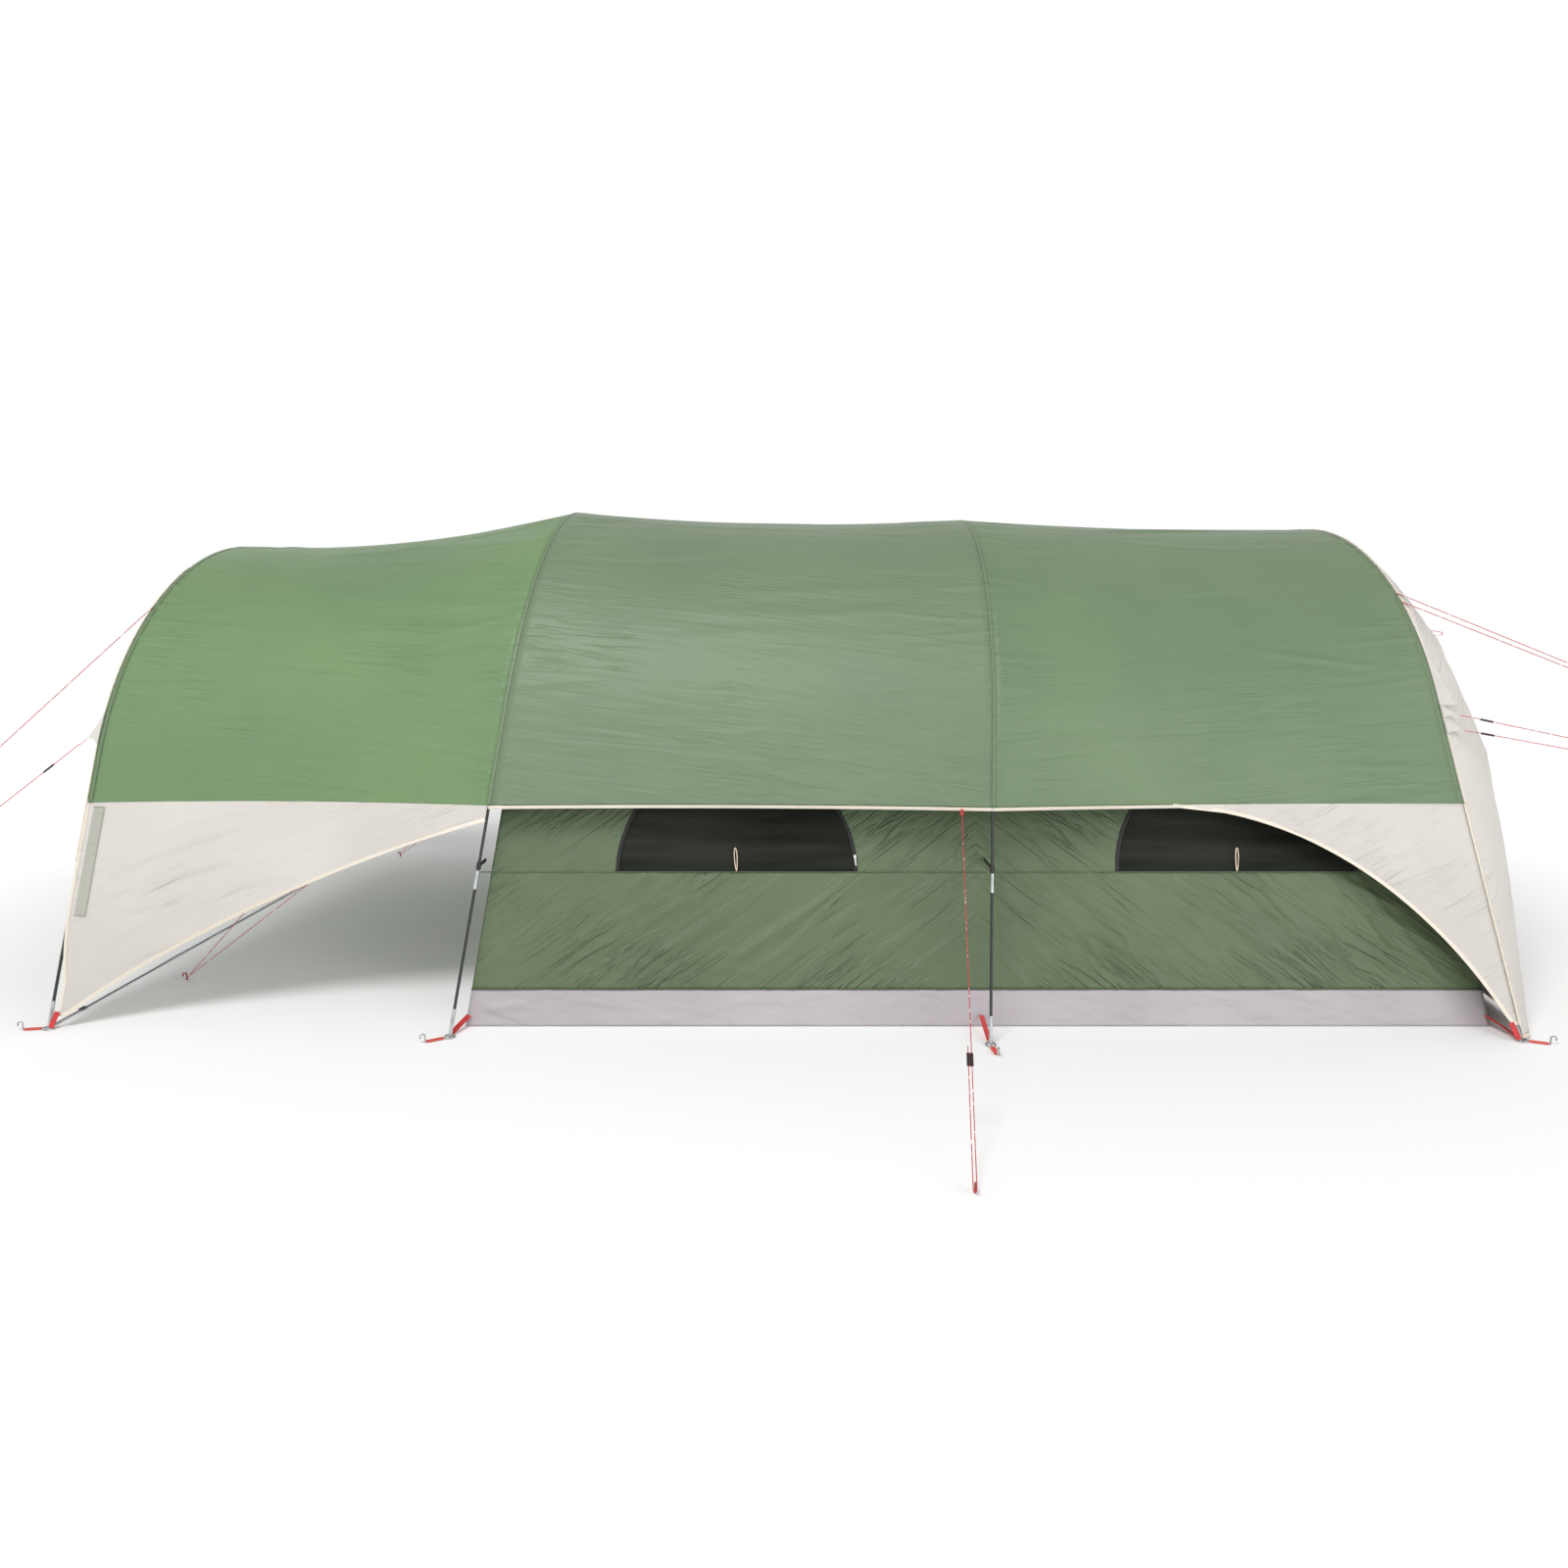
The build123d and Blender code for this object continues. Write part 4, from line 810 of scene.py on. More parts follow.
def atDistance(arch, distance, offset):
    # point on the near leg or bow by its distance along the pole, set outward by offset
    total = overArch(arch, 0.0, 0.0, np.array([0.0]))[1]
    here = overArch(arch, 0.0, 0.0, np.array([distance / total, (distance + 0.001) / total]))[0]
    run = here[1] - here[0]
    run /= np.linalg.norm(run)
    lean = np.array([arch["lean"], 0, arch["rise"]])
    out = np.cross(run, np.cross(lean / np.linalg.norm(lean), np.array([0, 1, 0])))
    out /= np.linalg.norm(out)
    if out[1] > 0:
        out = -out
    return here[0] + out * offset


def gussetGrid(arch, distance, half, target):
    # patch between a run of the pole and a tip towards the guy line, with hollow sides
    count = 16
    base = np.stack([atDistance(arch, distance + half * s, guyPoints["clear"]) for s in np.linspace(-1, 1,
                                                                                                    count)])
    root = atDistance(arch, distance, guyPoints["clear"])
    pull = settled(target) - root
    tip = root + pull / np.linalg.norm(pull) * guyPoints["reach"]
    t = np.linspace(0, 1, 14)[:, None, None]
    narrow = (1 - t) ** 1.5
    middle = base.mean(0)
    return middle + (base - middle)[None] * narrow + (tip - middle) * t


patches = [gussetGrid(arches[0], guyPoints["front"], guyPoints["frontHalf"], guyPoints["frontPull"])]
patches += [gussetGrid(arches[3], d, guyPoints["rearHalf"], guyPoints["rearPull"]) for d in guyPoints["rear"]]
patches += [p * np.array([1, -1, 1]) for p in patches]
made = gridMesh("guyGussets", patches, finishes["cream"], flats=[p[..., :2] for p in patches],
                thickness=0.002)
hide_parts("guy_gussets")

# scalloped cream strip between the rear guy points
strips = []
for side in (-1, 1):
    distance = np.linspace(guyStrip["from"], guyStrip["to"], guyStrip["count"])
    inner = np.stack([atDistance(arches[3], d, guyStrip["offset"]) for d in distance])
    grow = guyStrip["least"] + guyStrip["most"] * np.linspace(1, 0, guyStrip["count"]) ** guyStrip["taper"]
    outer = inner + np.array([1.0, -0.35, 0.1]) * grow[:, None]
    strip = inner[:, None] + (outer - inner)[:, None] * np.linspace(0, 1, 8)[None, :, None]
    strips.append(onSide(strip, side))
made = gridMesh("guyStrips", strips, finishes["cream"], flats=[s[..., :2] for s in strips], thickness=0.0015)


def softened(name, cadName, finish, bevel=0.0006):
    # webbing piece from its CAD shape, with merged corners and rounded edges
    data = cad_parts[cadName].data.copy()
    data.name = name
    work = bmesh.new()
    work.from_mesh(data)
    bmesh.ops.remove_doubles(work, verts=work.verts, dist=2e-5)
    bmesh.ops.dissolve_limit(work, angle_limit=0.02, verts=work.verts, edges=work.edges)
    work.to_mesh(data)
    work.free()
    data.materials.clear()
    data.materials.append(finishes[finish])
    made = bpy.data.objects.new(name, data)
    bpy.context.scene.collection.objects.link(made)
    rounding = made.modifiers.new("edges", "BEVEL")
    rounding.width = bevel
    rounding.segments = 2
    rounding.limit_method = "ANGLE"
    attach(made, home)
    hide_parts(cadName)
    return made


softened("guyLoops", "guy_loops", "redWebbing")
softened("pegTabs", "peg_tabs", "orangeWebbing")
softened("floorWebbing", "floor_webbing", "redWebbing")
softened("cornerWebbing", "corner_webbing", "redWebbing")

# strap across the porch's mouth, lying on the ground with small waves
groundStrap = {"half": 1.428, "width": 0.008, "thick": 0.0014, "wave": 0.0012}
y = np.linspace(-groundStrap["half"], groundStrap["half"], 240)
path = np.stack([np.full(240, arches[0]["x"]) + 0.002 * np.sin(y * 2.1), y,
                 0.0015 + groundStrap["wave"] * (1 + np.sin(y * 17)) * np.sin(y * 3.3) ** 2], -1)
made = gridMesh("groundStrap", [ribbonGrid(path, (1, 0, 0), groundStrap["width"], groundStrap["thick"])],
                finishes["blackWebbing"], closedAcross=True)
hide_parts("ground_strap")
print("webbing made")


# ---- cabin

cabin = {
    "half": 1.430, "splay": 19.0, "rise": 1.820, "inset": 0.026, "skirt": 0.128, "wallTop": 1.060,
    "windowX": (-0.182, 1.738), "windowBase": 0.548, "windowRadius": 0.458, "cell": 0.012, "cloth": 0.0010,
}
cabinArch = {"x": 0.0, "half": cabin["half"], "rise": cabin["rise"], "lean": 0.0, "splay": cabin["splay"]}
wallSlope = math.radians(cabin["splay"])


def endX(front, z, inset=0.0):
    # place along X of a cabin end wall at a height
    arch = arches[1] if front else arches[3]
    step = cabin["inset"] + inset
    return arch["x"] + (step if front else -step) + z * arch["lean"] / arch["rise"]


def wallPoint(x, z, out=0.0):
    # point of the near wall, set outward
    y = -cabin["half"] + z * math.tan(wallSlope)
    return np.stack(np.broadcast_arrays(x, y - out * math.cos(wallSlope), z + out * math.sin(wallSlope)), -1)


def wallCreases():
    # pulls run up to the window corners on the front half and down to the rear foot behind
    rows = randomCreases(46, (0.1, 1.75), (0.0, 0.45), (0.45, 0.95), (0.15, 0.5), (0.012, 0.026),
                         (0.004, 0.011))
    rows += randomCreases(52, (2.0, 3.6), (0.0, 0.45), (-0.95, -0.4), (0.18, 0.6), (0.012, 0.028),
                          (0.004, 0.013))
    rows += randomCreases(16, (0.1, 3.6), (0.42, 0.9), (0.5, 1.2), (0.08, 0.22), (0.012, 0.02),
                          (0.002, 0.005))
    rows += randomCreases(14, (0.2, 3.6), (0.0, 0.1), (-0.25, 0.25), (0.15, 0.4), (0.012, 0.024),
                          (0.003, 0.007))
    return rows


def cabinWall(name, cadName, side, rows):
    # a sloped rectangle with half discs left out, its nodes drawn onto each window's edge
    base, top = cabin["windowBase"], cabin["wallTop"]
    z = np.concatenate([np.linspace(cabin["skirt"] + 0.0005, base, 38), np.linspace(base, top, 48)[1:]])
    share = np.linspace(0, 1, 330)
    share, z = np.meshgrid(share, z, indexing="ij")
    x = endX(True, z, 0.003) * (1 - share) + endX(False, z, 0.003) * share
    up = (z - base) / math.cos(wallSlope)
    start = endX(True, 0.0)
    drop = np.zeros(share.shape, bool)[:-1, :-1]
    for windowX in cabin["windowX"]:
        across = x - (windowX - centreX)
        reach = np.hypot(across, up)
        radius = cabin["windowRadius"]
        near = (np.abs(reach - radius) < 0.6 * cabin["cell"]) & (up > -1e-6)
        scale = np.where(near, radius / np.maximum(reach, 1e-9), 1.0)
        x = np.where(near, (windowX - centreX) + across * scale, x)
        up = np.where(near, up * scale, up)
        z = np.where(near, base + up * math.cos(wallSlope), z)
        middle = lambda a: (a[1:, 1:] + a[:-1, :-1] + a[1:, :-1] + a[:-1, 1:]) / 4
        inside = (np.hypot(middle(x) - (windowX - centreX), middle(up)) < radius - 0.001) & (middle(up) > 0)
        drop |= inside
    flat = np.stack([x - start, (z - cabin["skirt"]) / math.cos(wallSlope)], -1)
    height = creases(flat[..., 0], flat[..., 1], rows)
    edge = np.ones(share.shape)
    for windowX in cabin["windowX"]:  # the cloth lies flat against the zips
        off = np.hypot(x - (windowX - centreX), up) - cabin["windowRadius"]
        edge *= np.where(up > -0.004, np.clip(off / 0.05, 0, 1), 1)
    ends = np.clip(np.minimum(share, 1 - share) * 40, 0, 1) * np.clip((z - cabin["skirt"]) / 0.03, 0, 1)
    seam = -0.0018 * np.exp(-(((z - base) / 0.008) ** 2))
    belly = 0.010 * np.sin(np.clip((z - cabin["skirt"]) / 0.42, 0,
                                   1) * np.pi) * np.sin(share * np.pi * 4) ** 2
    out = (height * edge + seam - belly) * ends - 0.001
    grid = wallPoint(x, z, out)
    grid = onSide(grid, side)
    if facesIn(grid, fromRidge(grid)):
        grid, flat, drop = grid[:, ::-1], flat[:, ::-1], drop[:, ::-1]
    middle = arches[2]["x"] - start
    # creases rise towards the third arch from both sides
    flat = np.stack([-np.abs(flat[..., 0] - middle), flat[..., 1]], -1)
    made = gridMesh(name, [grid], finishes["cabin"], flats=[flat], drop=[drop], thickness=cabin["cloth"])
    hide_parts(cadName)


rows = wallCreases()
cabinWall("cabinWallNear", "cabin_wall_near", -1, rows)
cabinWall("cabinWallFar", "cabin_wall_far", 1, rows)


def windowFan(side, windowX, radius, out, sag, rings=26, spokes=70):
    # half disc on the wall, in rings and spokes
    r, a = np.meshgrid(np.linspace(0.002, radius, rings), np.linspace(0.0, math.pi, spokes), indexing="ij")
    dip = out - sag * (1 - (r / radius) ** 2) * np.sin(a) ** 0.5
    z = cabin["windowBase"] + 0.0006 + r * np.sin(a) * math.cos(wallSlope)
    grid = wallPoint(windowX - centreX + r * np.cos(a), z, dip)
    flat = np.stack([r * np.cos(a), r * np.sin(a)], -1)
    grid = onSide(grid, side)
    return grid, flat


for side, which in ((-1, "near"), (1, "far")):
    grids, flats = [], []
    for windowX in cabin["windowX"]:
        grid, flat = windowFan(side, windowX, cabin["windowRadius"] - 0.0005, -0.001, sag=0.002)
        wavy = creases(flat[..., 0], flat[..., 1],
                       randomCreases(16, (-0.4, 0.4), (0.05, 0.35),
                                     (0.6, 1.1) if windowX < 1 else (-1.1, -0.6),
                                     (0.12, 0.35), (0.012, 0.024), (0.001, 0.003)))
        fade = np.clip((cabin["windowRadius"] - np.hypot(flat[..., 0], flat[..., 1])) / 0.06, 0, 1)
        grid = grid + np.array([0, side, 0]) * (wavy * fade)[..., None]
        grids.append(grid)
        flats.append(flat)
    if facesIn(grids[0], fromRidge(grids[0])):
        grids, flats = [g[:, ::-1] for g in grids], [f[:, ::-1] for f in flats]
    made = gridMesh(f"windowMesh{which.title()}", grids, finishes["netting"], flats=flats, thickness=0.0008)
    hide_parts(f"window_mesh_{which}")

# curved zips: a tape with a moulded coil along its middle
zips = {"tape": 0.014, "thick": 0.0012, "coil": 0.0022, "tooth": 0.004}


def zipGrids(path, across, out):
    # tape and coil along a path; out is the direction away from the cloth
    length = float(np.linalg.norm(np.diff(path, axis=0), axis=1).sum())
    tape = ribbonGrid(path, across, zips["tape"], zips["thick"])
    fine = steps(path + np.asarray(out) * 0.0012, int(length / zips["tooth"]) * 4)
    ripple = zips["coil"] * (0.72 + 0.28 * np.cos(np.arange(len(fine)) * math.pi / 2))
    return [tape, tubeGrid(fine, ripple * 0.6, 6, out)]


grids = []
for side in (-1, 1):
    out = np.array([0, -math.cos(wallSlope), math.sin(wallSlope)])
    for windowX in cabin["windowX"]:
        a = np.linspace(0, math.pi, 140)
        radius = cabin["windowRadius"]
        z = cabin["windowBase"] + radius * np.sin(a) * math.cos(wallSlope)
        path = wallPoint(windowX - centreX + radius * np.cos(a), z, 0.0012)
        middle = wallPoint(windowX - centreX, cabin["windowBase"], 0.0012)
        grids += [onSide(g, side) for g in zipGrids(path, path - middle, out)]
tape, coils = [g for g in grids if g.shape[1] == 16], [g for g in grids if g.shape[1] != 16]
made = gridMesh("windowZips", tape, finishes["zip"], closedAcross=True)
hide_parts("window_zips")
made = gridMesh("windowZipCoils", coils, finishes["zip"], closedAcross=True)

# elastic loops at the windows' bases
windowLoops = {"height": 0.088, "width": 0.0125, "cord": 0.0026}
loops = []
for side in (-1, 1):
    for i, windowX in enumerate(cabin["windowX"]):
        t = np.linspace(0, 2 * math.pi, 64)
        lean = 0.01 * (1 - np.cos(t)) * (1 if i else -1) * 0.3
        x = windowX - centreX + windowLoops["width"] / 2 * np.sin(t) * (0.35 + 0.65 * np.sin(t / 2)) + lean
        z = cabin["windowBase"] + 0.002 + windowLoops["height"] / 2 * (1 - np.cos(t)) * math.cos(wallSlope)
        loop = tubeGrid(wallPoint(x, z, 0.0055), windowLoops["cord"] / 1.2, 10, (0, 1, 0), ends=False)
        loops.append(onSide(loop, side))
made = gridMesh("windowLoops", loops, finishes["elasticCord"], closedAcross=True)
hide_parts("window_loops")

# storm flaps rolled up on the inside below each window
flapRoll = {"radius": 0.0205, "core": 0.007, "turns": 3.3, "length": 0.856, "depth": 0.027}
for side, which in ((-1, "Near"), (1, "Far")):
    for i, windowX in enumerate(cabin["windowX"]):
        x, t = np.meshgrid(np.linspace(-0.5, 0.5, 70) * flapRoll["length"], np.linspace(0, 1, 90),
                           indexing="ij")
        turn = t * flapRoll["turns"] * 2 * math.pi + 0.4 * i
        radius = flapRoll["core"] + (flapRoll["radius"] - flapRoll["core"]) * t + 0.0006 * np.sin(x * 38 + 4 * i) * t
        middle = wallPoint(windowX - centreX + x, cabin["windowBase"] - 0.024, -flapRoll["depth"])
        grid = middle + np.stack([np.zeros_like(x), radius * np.cos(turn), radius * np.sin(turn)], -1)
        grid = onSide(grid, side)
        place = "Front" if i == 0 else "Rear"
        made = gridMesh(f"flapRoll{which}{place}", [grid], finishes["cabin"],
                        flats=[np.stack([x, t * 0.3], -1)], thickness=0.0008)
        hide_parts("window_flap_rolls")
print("windows made")

# cabin roof above the walls
share, over = np.meshgrid(np.linspace(0, 1, 60), np.linspace(0, 1, 260), indexing="ij")
grid, total = overArch(cabinArch, -0.001, cabin["wallTop"] + 0.0005, over)
x = endX(True, grid[..., 2], 0.003) * (1 - share) + endX(False, grid[..., 2], 0.003) * share
flat = np.stack([share * 3.8, over * total], -1)
dip = -0.004 * np.sin(over * math.pi) * np.sin(share * math.pi * 2) ** 2
grid = np.stack([x, grid[..., 1], grid[..., 2] + dip], -1)
rows = randomCreases(60, (0.1, 3.6), (0.1, float(total) - 0.1), (-0.6, 0.6), (0.15, 0.5), (0.015, 0.03),
                     (0.001, 0.003))
grid = raised(grid, -np.abs(creases(flat[..., 0], flat[..., 1], rows)), fromRidge)
if facesIn(grid, fromRidge(grid)):
    grid, flat = grid[:, ::-1], flat[:, ::-1]
made = gridMesh("cabinRoof", [grid], finishes["cabin"], flats=[flat], thickness=cabin["cloth"])
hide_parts("cabin_roof")

# end walls, drawn in their leaning planes; the front one has a doorway
doorway = {"y": (-0.430, 0.430), "base": 0.165, "height": 1.340, "clear": 0.0015, "flat": (0.857, 1.337)}
endWall = {"flat": (2.78, 1.72), "topRows": 0.03, "headRows": 0.12}


def endWallPoint(front, y, z, out=0.0):
    # out is away from the cabin
    arch = arches[1] if front else arches[3]
    rise = math.hypot(arch["rise"], arch["lean"])
    normal = np.array([arch["rise"], 0, -arch["lean"]]) / rise * (-1 if front else 1)
    spot = np.stack(np.broadcast_arrays(endX(front, z, 0.001), y, z), -1)
    return spot + normal * np.asarray(out)[..., None]


def cabinHalfWidth(z):
    # half the cabin's width at a height: its straight leg below the bend and its bow above, less the cloth
    slope, rise, radius, centre = archShape(cabinArch)
    bend = centre + radius * math.sin(slope)
    leg = cabin["half"] - z * np.tan(slope)
    return np.where(z > bend, np.sqrt(np.maximum(radius**2 - (z - centre) ** 2, 0)), leg) - 0.0027


def doorHalf(z, grow=0.0):
    # half width of the doorway at a height, where the wall leans very little
    arch = arches[1]
    stretch = math.hypot(arch["rise"], arch["lean"]) / arch["rise"]
    up = z * stretch
    radius = doorway["y"][1] + grow
    shoulder = doorway["base"] + doorway["height"] - doorway["y"][1]
    inside = (up >= doorway["base"] - grow - 1e-6) & (up <= shoulder + radius)
    round_ = np.sqrt(np.maximum(radius**2 - np.maximum(up - shoulder, 0) ** 2, 0))
    return np.where(inside, np.minimum(radius, round_), 0.0)


stretchFront = math.hypot(arches[1]["rise"], arches[1]["lean"]) / arches[1]["rise"]
baseZ = doorway["base"] / stretchFront
topZ = (doorway["base"] + doorway["height"]) / stretchFront
ceiling = cabin["rise"] - 0.004
low = cabin["skirt"] + 0.001
grids, flats = [], []
z, t = np.meshgrid(np.linspace(low, baseZ, 6), np.linspace(-1, 1, 120), indexing="ij")
strips = [(z, t * cabinHalfWidth(z))]
head = topZ - endWall["headRows"]
crest = ceiling - endWall["topRows"] * np.linspace(1, 0,
                                                   12)[1:] ** 2  # rows closer together towards the ridge
levels = np.concatenate([np.linspace(baseZ + 1e-5, head, 70),
                         topZ - endWall["headRows"] * np.linspace(1, 0, 40)[1:] ** 2,
                         np.linspace(topZ, ceiling - endWall["topRows"], 14)[1:], crest])
z, t = np.meshgrid(levels, np.linspace(0, 1, 56), indexing="ij")
half, door = cabinHalfWidth(z), doorHalf(z)
for sign in (-1, 1):
    strips.append((z, sign * (door + (half - door) * t)))
frontCreases = randomCreases(40, (-1.2, 1.2), (0.1, 1.6), (0.6, 2.4), (0.12, 0.4), (0.012, 0.03),
                             (0.0015, 0.004))
for z, y in strips:
    fade = np.clip((cabinHalfWidth(z) - np.abs(y)) * 20, 0, 1) * np.clip((np.abs(y) - doorHalf(z)) * 20, 0, 1)
    grids.append(endWallPoint(True, y, z, creases(y, z, frontCreases) * fade))
    flats.append(np.stack([y, z], -1))
made = gridMesh("cabinFrontWall", grids, finishes["cabin"], flats=flats, merge=2e-4, thickness=cabin["cloth"])
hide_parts("cabin_front_wall")

levels = np.concatenate([np.linspace(low, ceiling - endWall["topRows"], 110), crest])
z, t = np.meshgrid(levels, np.linspace(-1, 1, 150), indexing="ij")
y = t * cabinHalfWidth(z)
fade = np.clip((1 - np.abs(t)) * 12, 0, 1)
grid = endWallPoint(False, y, z, creases(y, z, frontCreases) * fade)
if facesIn(grid, np.array([1, 0, 0])):
    grid = grid[:, ::-1]
    y, z = y[:, ::-1], z[:, ::-1]
made = gridMesh("cabinRearWall", [grid], finishes["cabin"], flats=[np.stack([y, z], -1)],
                thickness=cabin["cloth"])
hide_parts("cabin_rear_wall")

# door: its straight side is sewn to the wall, the rest zips
levels = np.concatenate([np.linspace(baseZ + doorway["clear"], head, 60),
                         topZ - 0.0015 - 0.1185 * np.linspace(1, 0, 30)[1:] ** 2])
z, t = np.meshgrid(levels, np.linspace(-1, 1, 70), indexing="ij")
y = t * np.maximum(doorHalf(z) - doorway["clear"], 0.0005)
fade = np.clip((1 - np.abs(t)) * 8, 0, 1) * np.clip((z - baseZ) * 12, 0, 1) * np.clip((topZ - z) * 8, 0, 1)
doorCreases = randomCreases(30, (-0.35, 0.35), (0.2, 1.4), (0.7, 2.4), (0.1, 0.4), (0.012, 0.025),
                            (0.001, 0.003))
grid = endWallPoint(True, y, z, creases(y, z, doorCreases) * fade)
if facesIn(grid, np.array([-1, 0, 0])):
    grid, y, z = grid[:, ::-1], y[:, ::-1], z[:, ::-1]
made = gridMesh("doorPanel", [grid], finishes["cabin"], flats=[np.stack([y, z], -1)],
                thickness=cabin["cloth"])
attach(made, "door")
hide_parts("door_panel")

# door zip beside the free sides, from the lower corner round the head
grow = 0.008
radius = doorway["y"][1] + grow
shoulder = doorway["base"] + doorway["height"] - doorway["y"][1]
a = np.linspace(0, math.pi, 60)
outline = [(doorway["y"][0] + 0.01, doorway["base"] - grow), (radius, doorway["base"] - grow),
           (radius, shoulder)]
outline += [(radius * math.cos(k), shoulder + radius * math.sin(k)) for k in a[1:-4]]
outline = np.array(outline)
spots = steps(np.concatenate([outline, np.zeros((len(outline), 1))], 1), 220)
path = endWallPoint(True, spots[:, 0], spots[:, 1] / stretchFront, 0.0016)
run = along(path)
across = np.cross(run, np.array([-1.0, 0, 0.126]))
tape, coil = zipGrids(path, across, np.array([-0.992, 0, 0.125]))
made = gridMesh("doorZip", [tape], finishes["zip"], closedAcross=True)
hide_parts("door_zip")
made = gridMesh("doorZipCoil", [coil], finishes["zip"], closedAcross=True)
print("cabin walls and door made")

# bath-tub floor: one sheet folded up at all four sides
tray = {"skin": 0.0015, "columns": 200, "rows": 100, "flat": (4.10, 3.13)}


def trayCreases():
    # long ones that run along the skirt, and short ones up it
    rows = randomCreases(60, (0.0, 3.8), (0.01, 0.12), (-0.35, 0.35), (0.1, 0.4), (0.01, 0.02),
                         (0.002, 0.006))
    return rows + randomCreases(30, (0.0, 3.8), (0.0, 0.13), (0.5, 1.4), (0.03, 0.1), (0.01, 0.018),
                                (0.002, 0.005))


def traySkirt(side, rows):
    # the long sides, on the walls' own slope
    share, z = np.meshgrid(np.linspace(0, 1, 300), np.linspace(tray["skin"], cabin["skirt"], 18),
                           indexing="ij")
    x = endX(True, z) * (1 - share) + endX(False, z) * share
    flat = np.stack([share * 3.84, z], -1)
    fade = np.clip((z - 0.002) / 0.02, 0, 1) * np.clip(np.minimum(share, 1 - share) * 50, 0, 1)
    out = creases(flat[..., 0], flat[..., 1], rows) * fade - 0.0015
    return onSide(wallPoint(x, z, out), side), flat


def trayEnd(front, rows):
    # the short sides, on the end walls' own lean
    share, z = np.meshgrid(np.linspace(-1, 1, 200), np.linspace(tray["skin"], cabin["skirt"], 18),
                           indexing="ij")
    y = share * (cabin["half"] - 0.0015 - z * math.tan(wallSlope))
    flat = np.stack([y + 1.4, z], -1)
    fade = np.clip((z - 0.002) / 0.02, 0, 1) * np.clip((1 - np.abs(share)) * 25, 0, 1)
    out = creases(flat[..., 0], flat[..., 1], rows) * fade
    normal = np.array([-1.0 if front else 1.0, 0, 0])
    spot = np.stack([endX(front, z, 0.0015), y, z], -1)
    return spot + normal * out[..., None], flat


rows = trayCreases()
parts = [traySkirt(-1, rows), traySkirt(1, rows), trayEnd(True, rows), trayEnd(False, rows)]
x, y = np.meshgrid(np.linspace(float(endX(True, 0.0, 0.0015)), float(endX(False, 0.0, 0.0015)),
                               tray["columns"]),
                   np.linspace(-cabin["half"] + 0.0015, cabin["half"] - 0.0015, tray["rows"]), indexing="ij")
rows = randomCreases(50, (0.1, 3.7), (-1.3, 1.3), (-3, 3), (0.2, 0.6), (0.012, 0.03), (0.001, 0.003))
ripple = np.abs(creases(x - x.min(), y, rows))
fade = np.clip((cabin["half"] - np.abs(y)) * 12, 0, 1)
parts.append((np.stack([x, y, tray["skin"] + ripple * fade], -1), np.stack([x, y], -1)))
grids, flats = zip(*parts)
made = gridMesh("cabinFloor", grids, finishes["ground"], flats=flats, merge=6e-4, thickness=0.0012)
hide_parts("cabin_floor")

# dark sewn edges between wall and skirt, and along the windows' bases
edges = []
for side in (-1, 1):
    x = np.linspace(float(endX(True, cabin["skirt"])), float(endX(False, cabin["skirt"])), 200)
    path = onSide(wallPoint(x, cabin["skirt"] + 0.001 + np.zeros(200), 0.0012 + 0.0006 * np.sin(x * 9)), side)
    edges.append(ribbonGrid(path, (0, side * -0.32, 0.95), 0.006, 0.0022))
    base = onSide(wallPoint(x, cabin["windowBase"] - 0.002 + np.zeros(200), 0.0004), side)
    edges.append(ribbonGrid(base, (0, side * -0.32, 0.95), 0.005, 0.0012))
made = gridMesh("cabinSeams", edges, finishes["cabinDark"], closedAcross=True)
print("groundsheet made")


# ---- hard pieces keep their CAD shape

hardParts = {
    "rod": ["front_arch_poles", "second_arch_poles", "third_arch_poles", "rear_arch_poles"],
    "steel": ["pole_ferrules", "pole_end_tips", "ground_ring_pins", "foot_pegs"],
    "clip": ["pole_clips", "strap_buckle"],
    "runner": ["middle_runner", "front_runner", "rear_runner_a", "rear_runner_b"],
    "pegPaint": ["guy_pegs"],
    "elastic": ["shock_cords"],
    "slider": [f"window_slider_{side}_{end}" for side in ("near", "far") for end in ("front",
                                                                                     "rear")] + ["door_slider"],
}
for finish, names in hardParts.items():
    for name in names:
        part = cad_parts[name]
        part.data.materials.clear()
        part.data.materials.append(finishes[finish])


# ---- floor and light

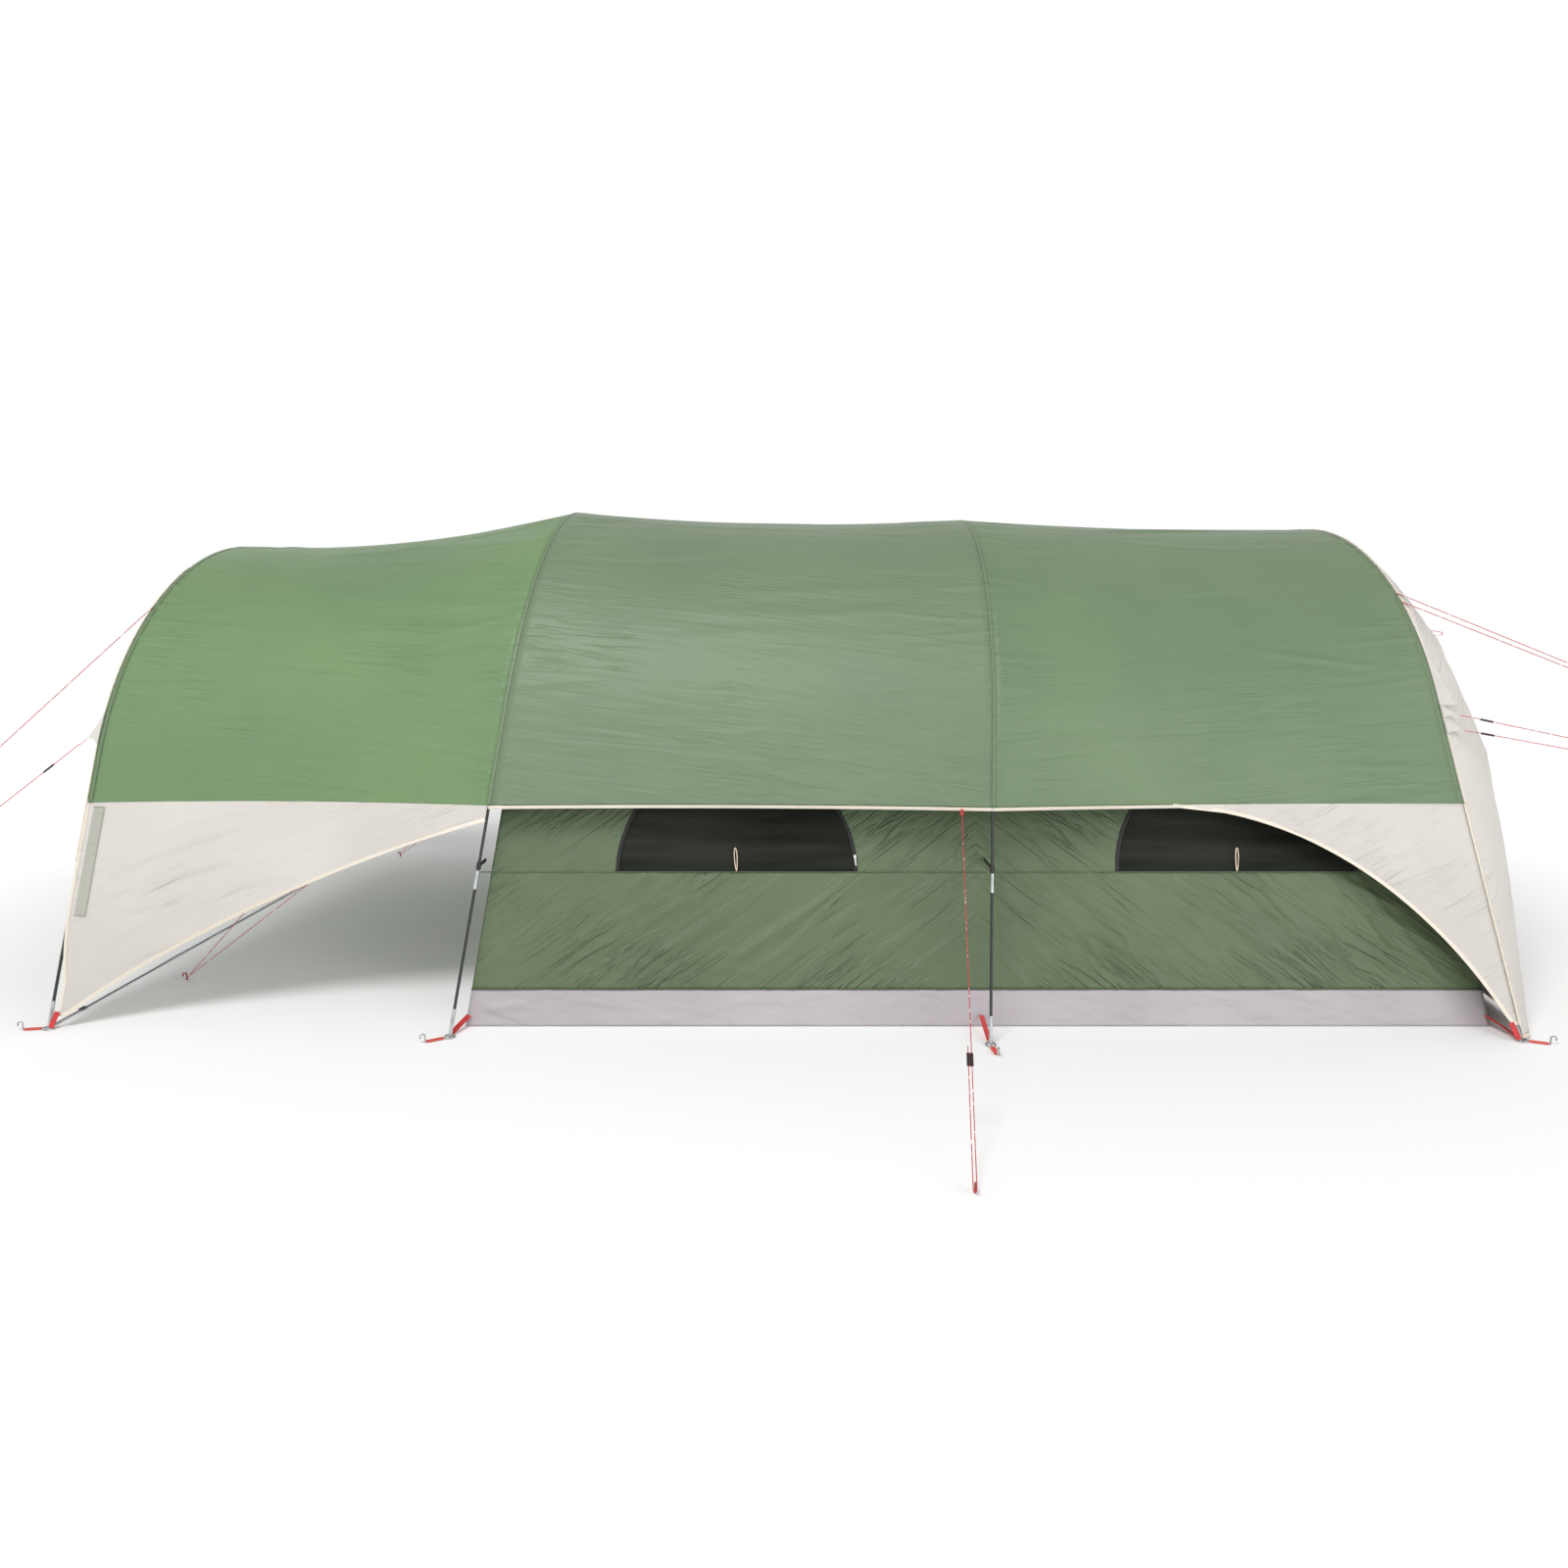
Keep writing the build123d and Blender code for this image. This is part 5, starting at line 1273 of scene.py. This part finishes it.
studio = {"floor": "#fcfcfc", "sky": 1.0, "overhead": 0.32, "key": 400.0, "fill": 100.0, "glow": 0.42}
floorData = bpy.data.meshes.new("studioFloor")
floorData.from_pydata([(-40, -40, -0.002), (40, -40, -0.002), (40, 60, -0.002), (-40, 60, -0.002)], [],
                      [(0, 1, 2, 3)])
floor = bpy.data.objects.new("studioFloor", floorData)
bpy.context.scene.collection.objects.link(floor)
floorFinish, tree = startMaterial("paleStudioFloor")
# the sweep glows softly away from the tent, so that it meets the white cove without a line
away = node(tree, "ShaderNodeVectorMath", {"operation": "LENGTH"})
tree.links.new(node(tree, "ShaderNodeTexCoord").outputs["Object"], away.inputs[0])
glow = node(tree, "ShaderNodeMapRange", {"From Min": 3.2, "From Max": 6.0, "To Max": studio["glow"]},
            {"Value": away.outputs["Value"]})
surface = node(tree, "ShaderNodeBsdfPrincipled", {"Base Color": linear(studio["floor"]), "Roughness": 0.9,
               "Specular IOR Level": 0.1, "Emission Color": (1, 1, 1, 1)}, {"Emission Strength": glow.outputs["Result"]})
node(tree, "ShaderNodeOutputMaterial", links={"Surface": surface.outputs[0]})
floorData.materials.append(floorFinish)

world = bpy.data.worlds.new("studioSky")
world.use_nodes = True
tree = world.node_tree
# white all round and dimmer overhead, as under a studio's cove
upward = node(tree, "ShaderNodeSeparateXYZ", links={"Vector": node(tree,
                                                                   "ShaderNodeTexCoord").outputs["Generated"]})
cove = node(tree, "ShaderNodeMapRange", {"From Min": 0.5, "From Max": 0.75, "To Min": studio["sky"],
                                         "To Max": studio["overhead"]},
            {"Value": upward.outputs["Z"]})
tree.links.new(cove.outputs["Result"], tree.nodes["Background"].inputs["Strength"])
tree.nodes["Background"].inputs["Color"].default_value = (1, 1, 1, 1)
bpy.context.scene.world = world
bpy.context.scene.view_settings.view_transform = "Standard"


def softbox(name, place, target, size, power):
    # a round area light that looks at its target
    data = bpy.data.lights.new(name, "AREA")
    data.shape = "DISK"
    data.size = size
    data.energy = power
    lamp = bpy.data.objects.new(name, data)
    lamp.location = place
    lamp.rotation_mode = "QUATERNION"
    lamp.rotation_quaternion = (Vector(target) - Vector(place)).to_track_quat("-Z", "Y")
    bpy.context.scene.collection.objects.link(lamp)


softbox("keyLight", (-2.2, -5.3, 7.8), (0, 0, 1), 3.5, studio["key"])
softbox("fillLight", (5.0, -6.0, 3.0), (0, 0, 0.8), 4.0, studio["fill"])
print("studio set")
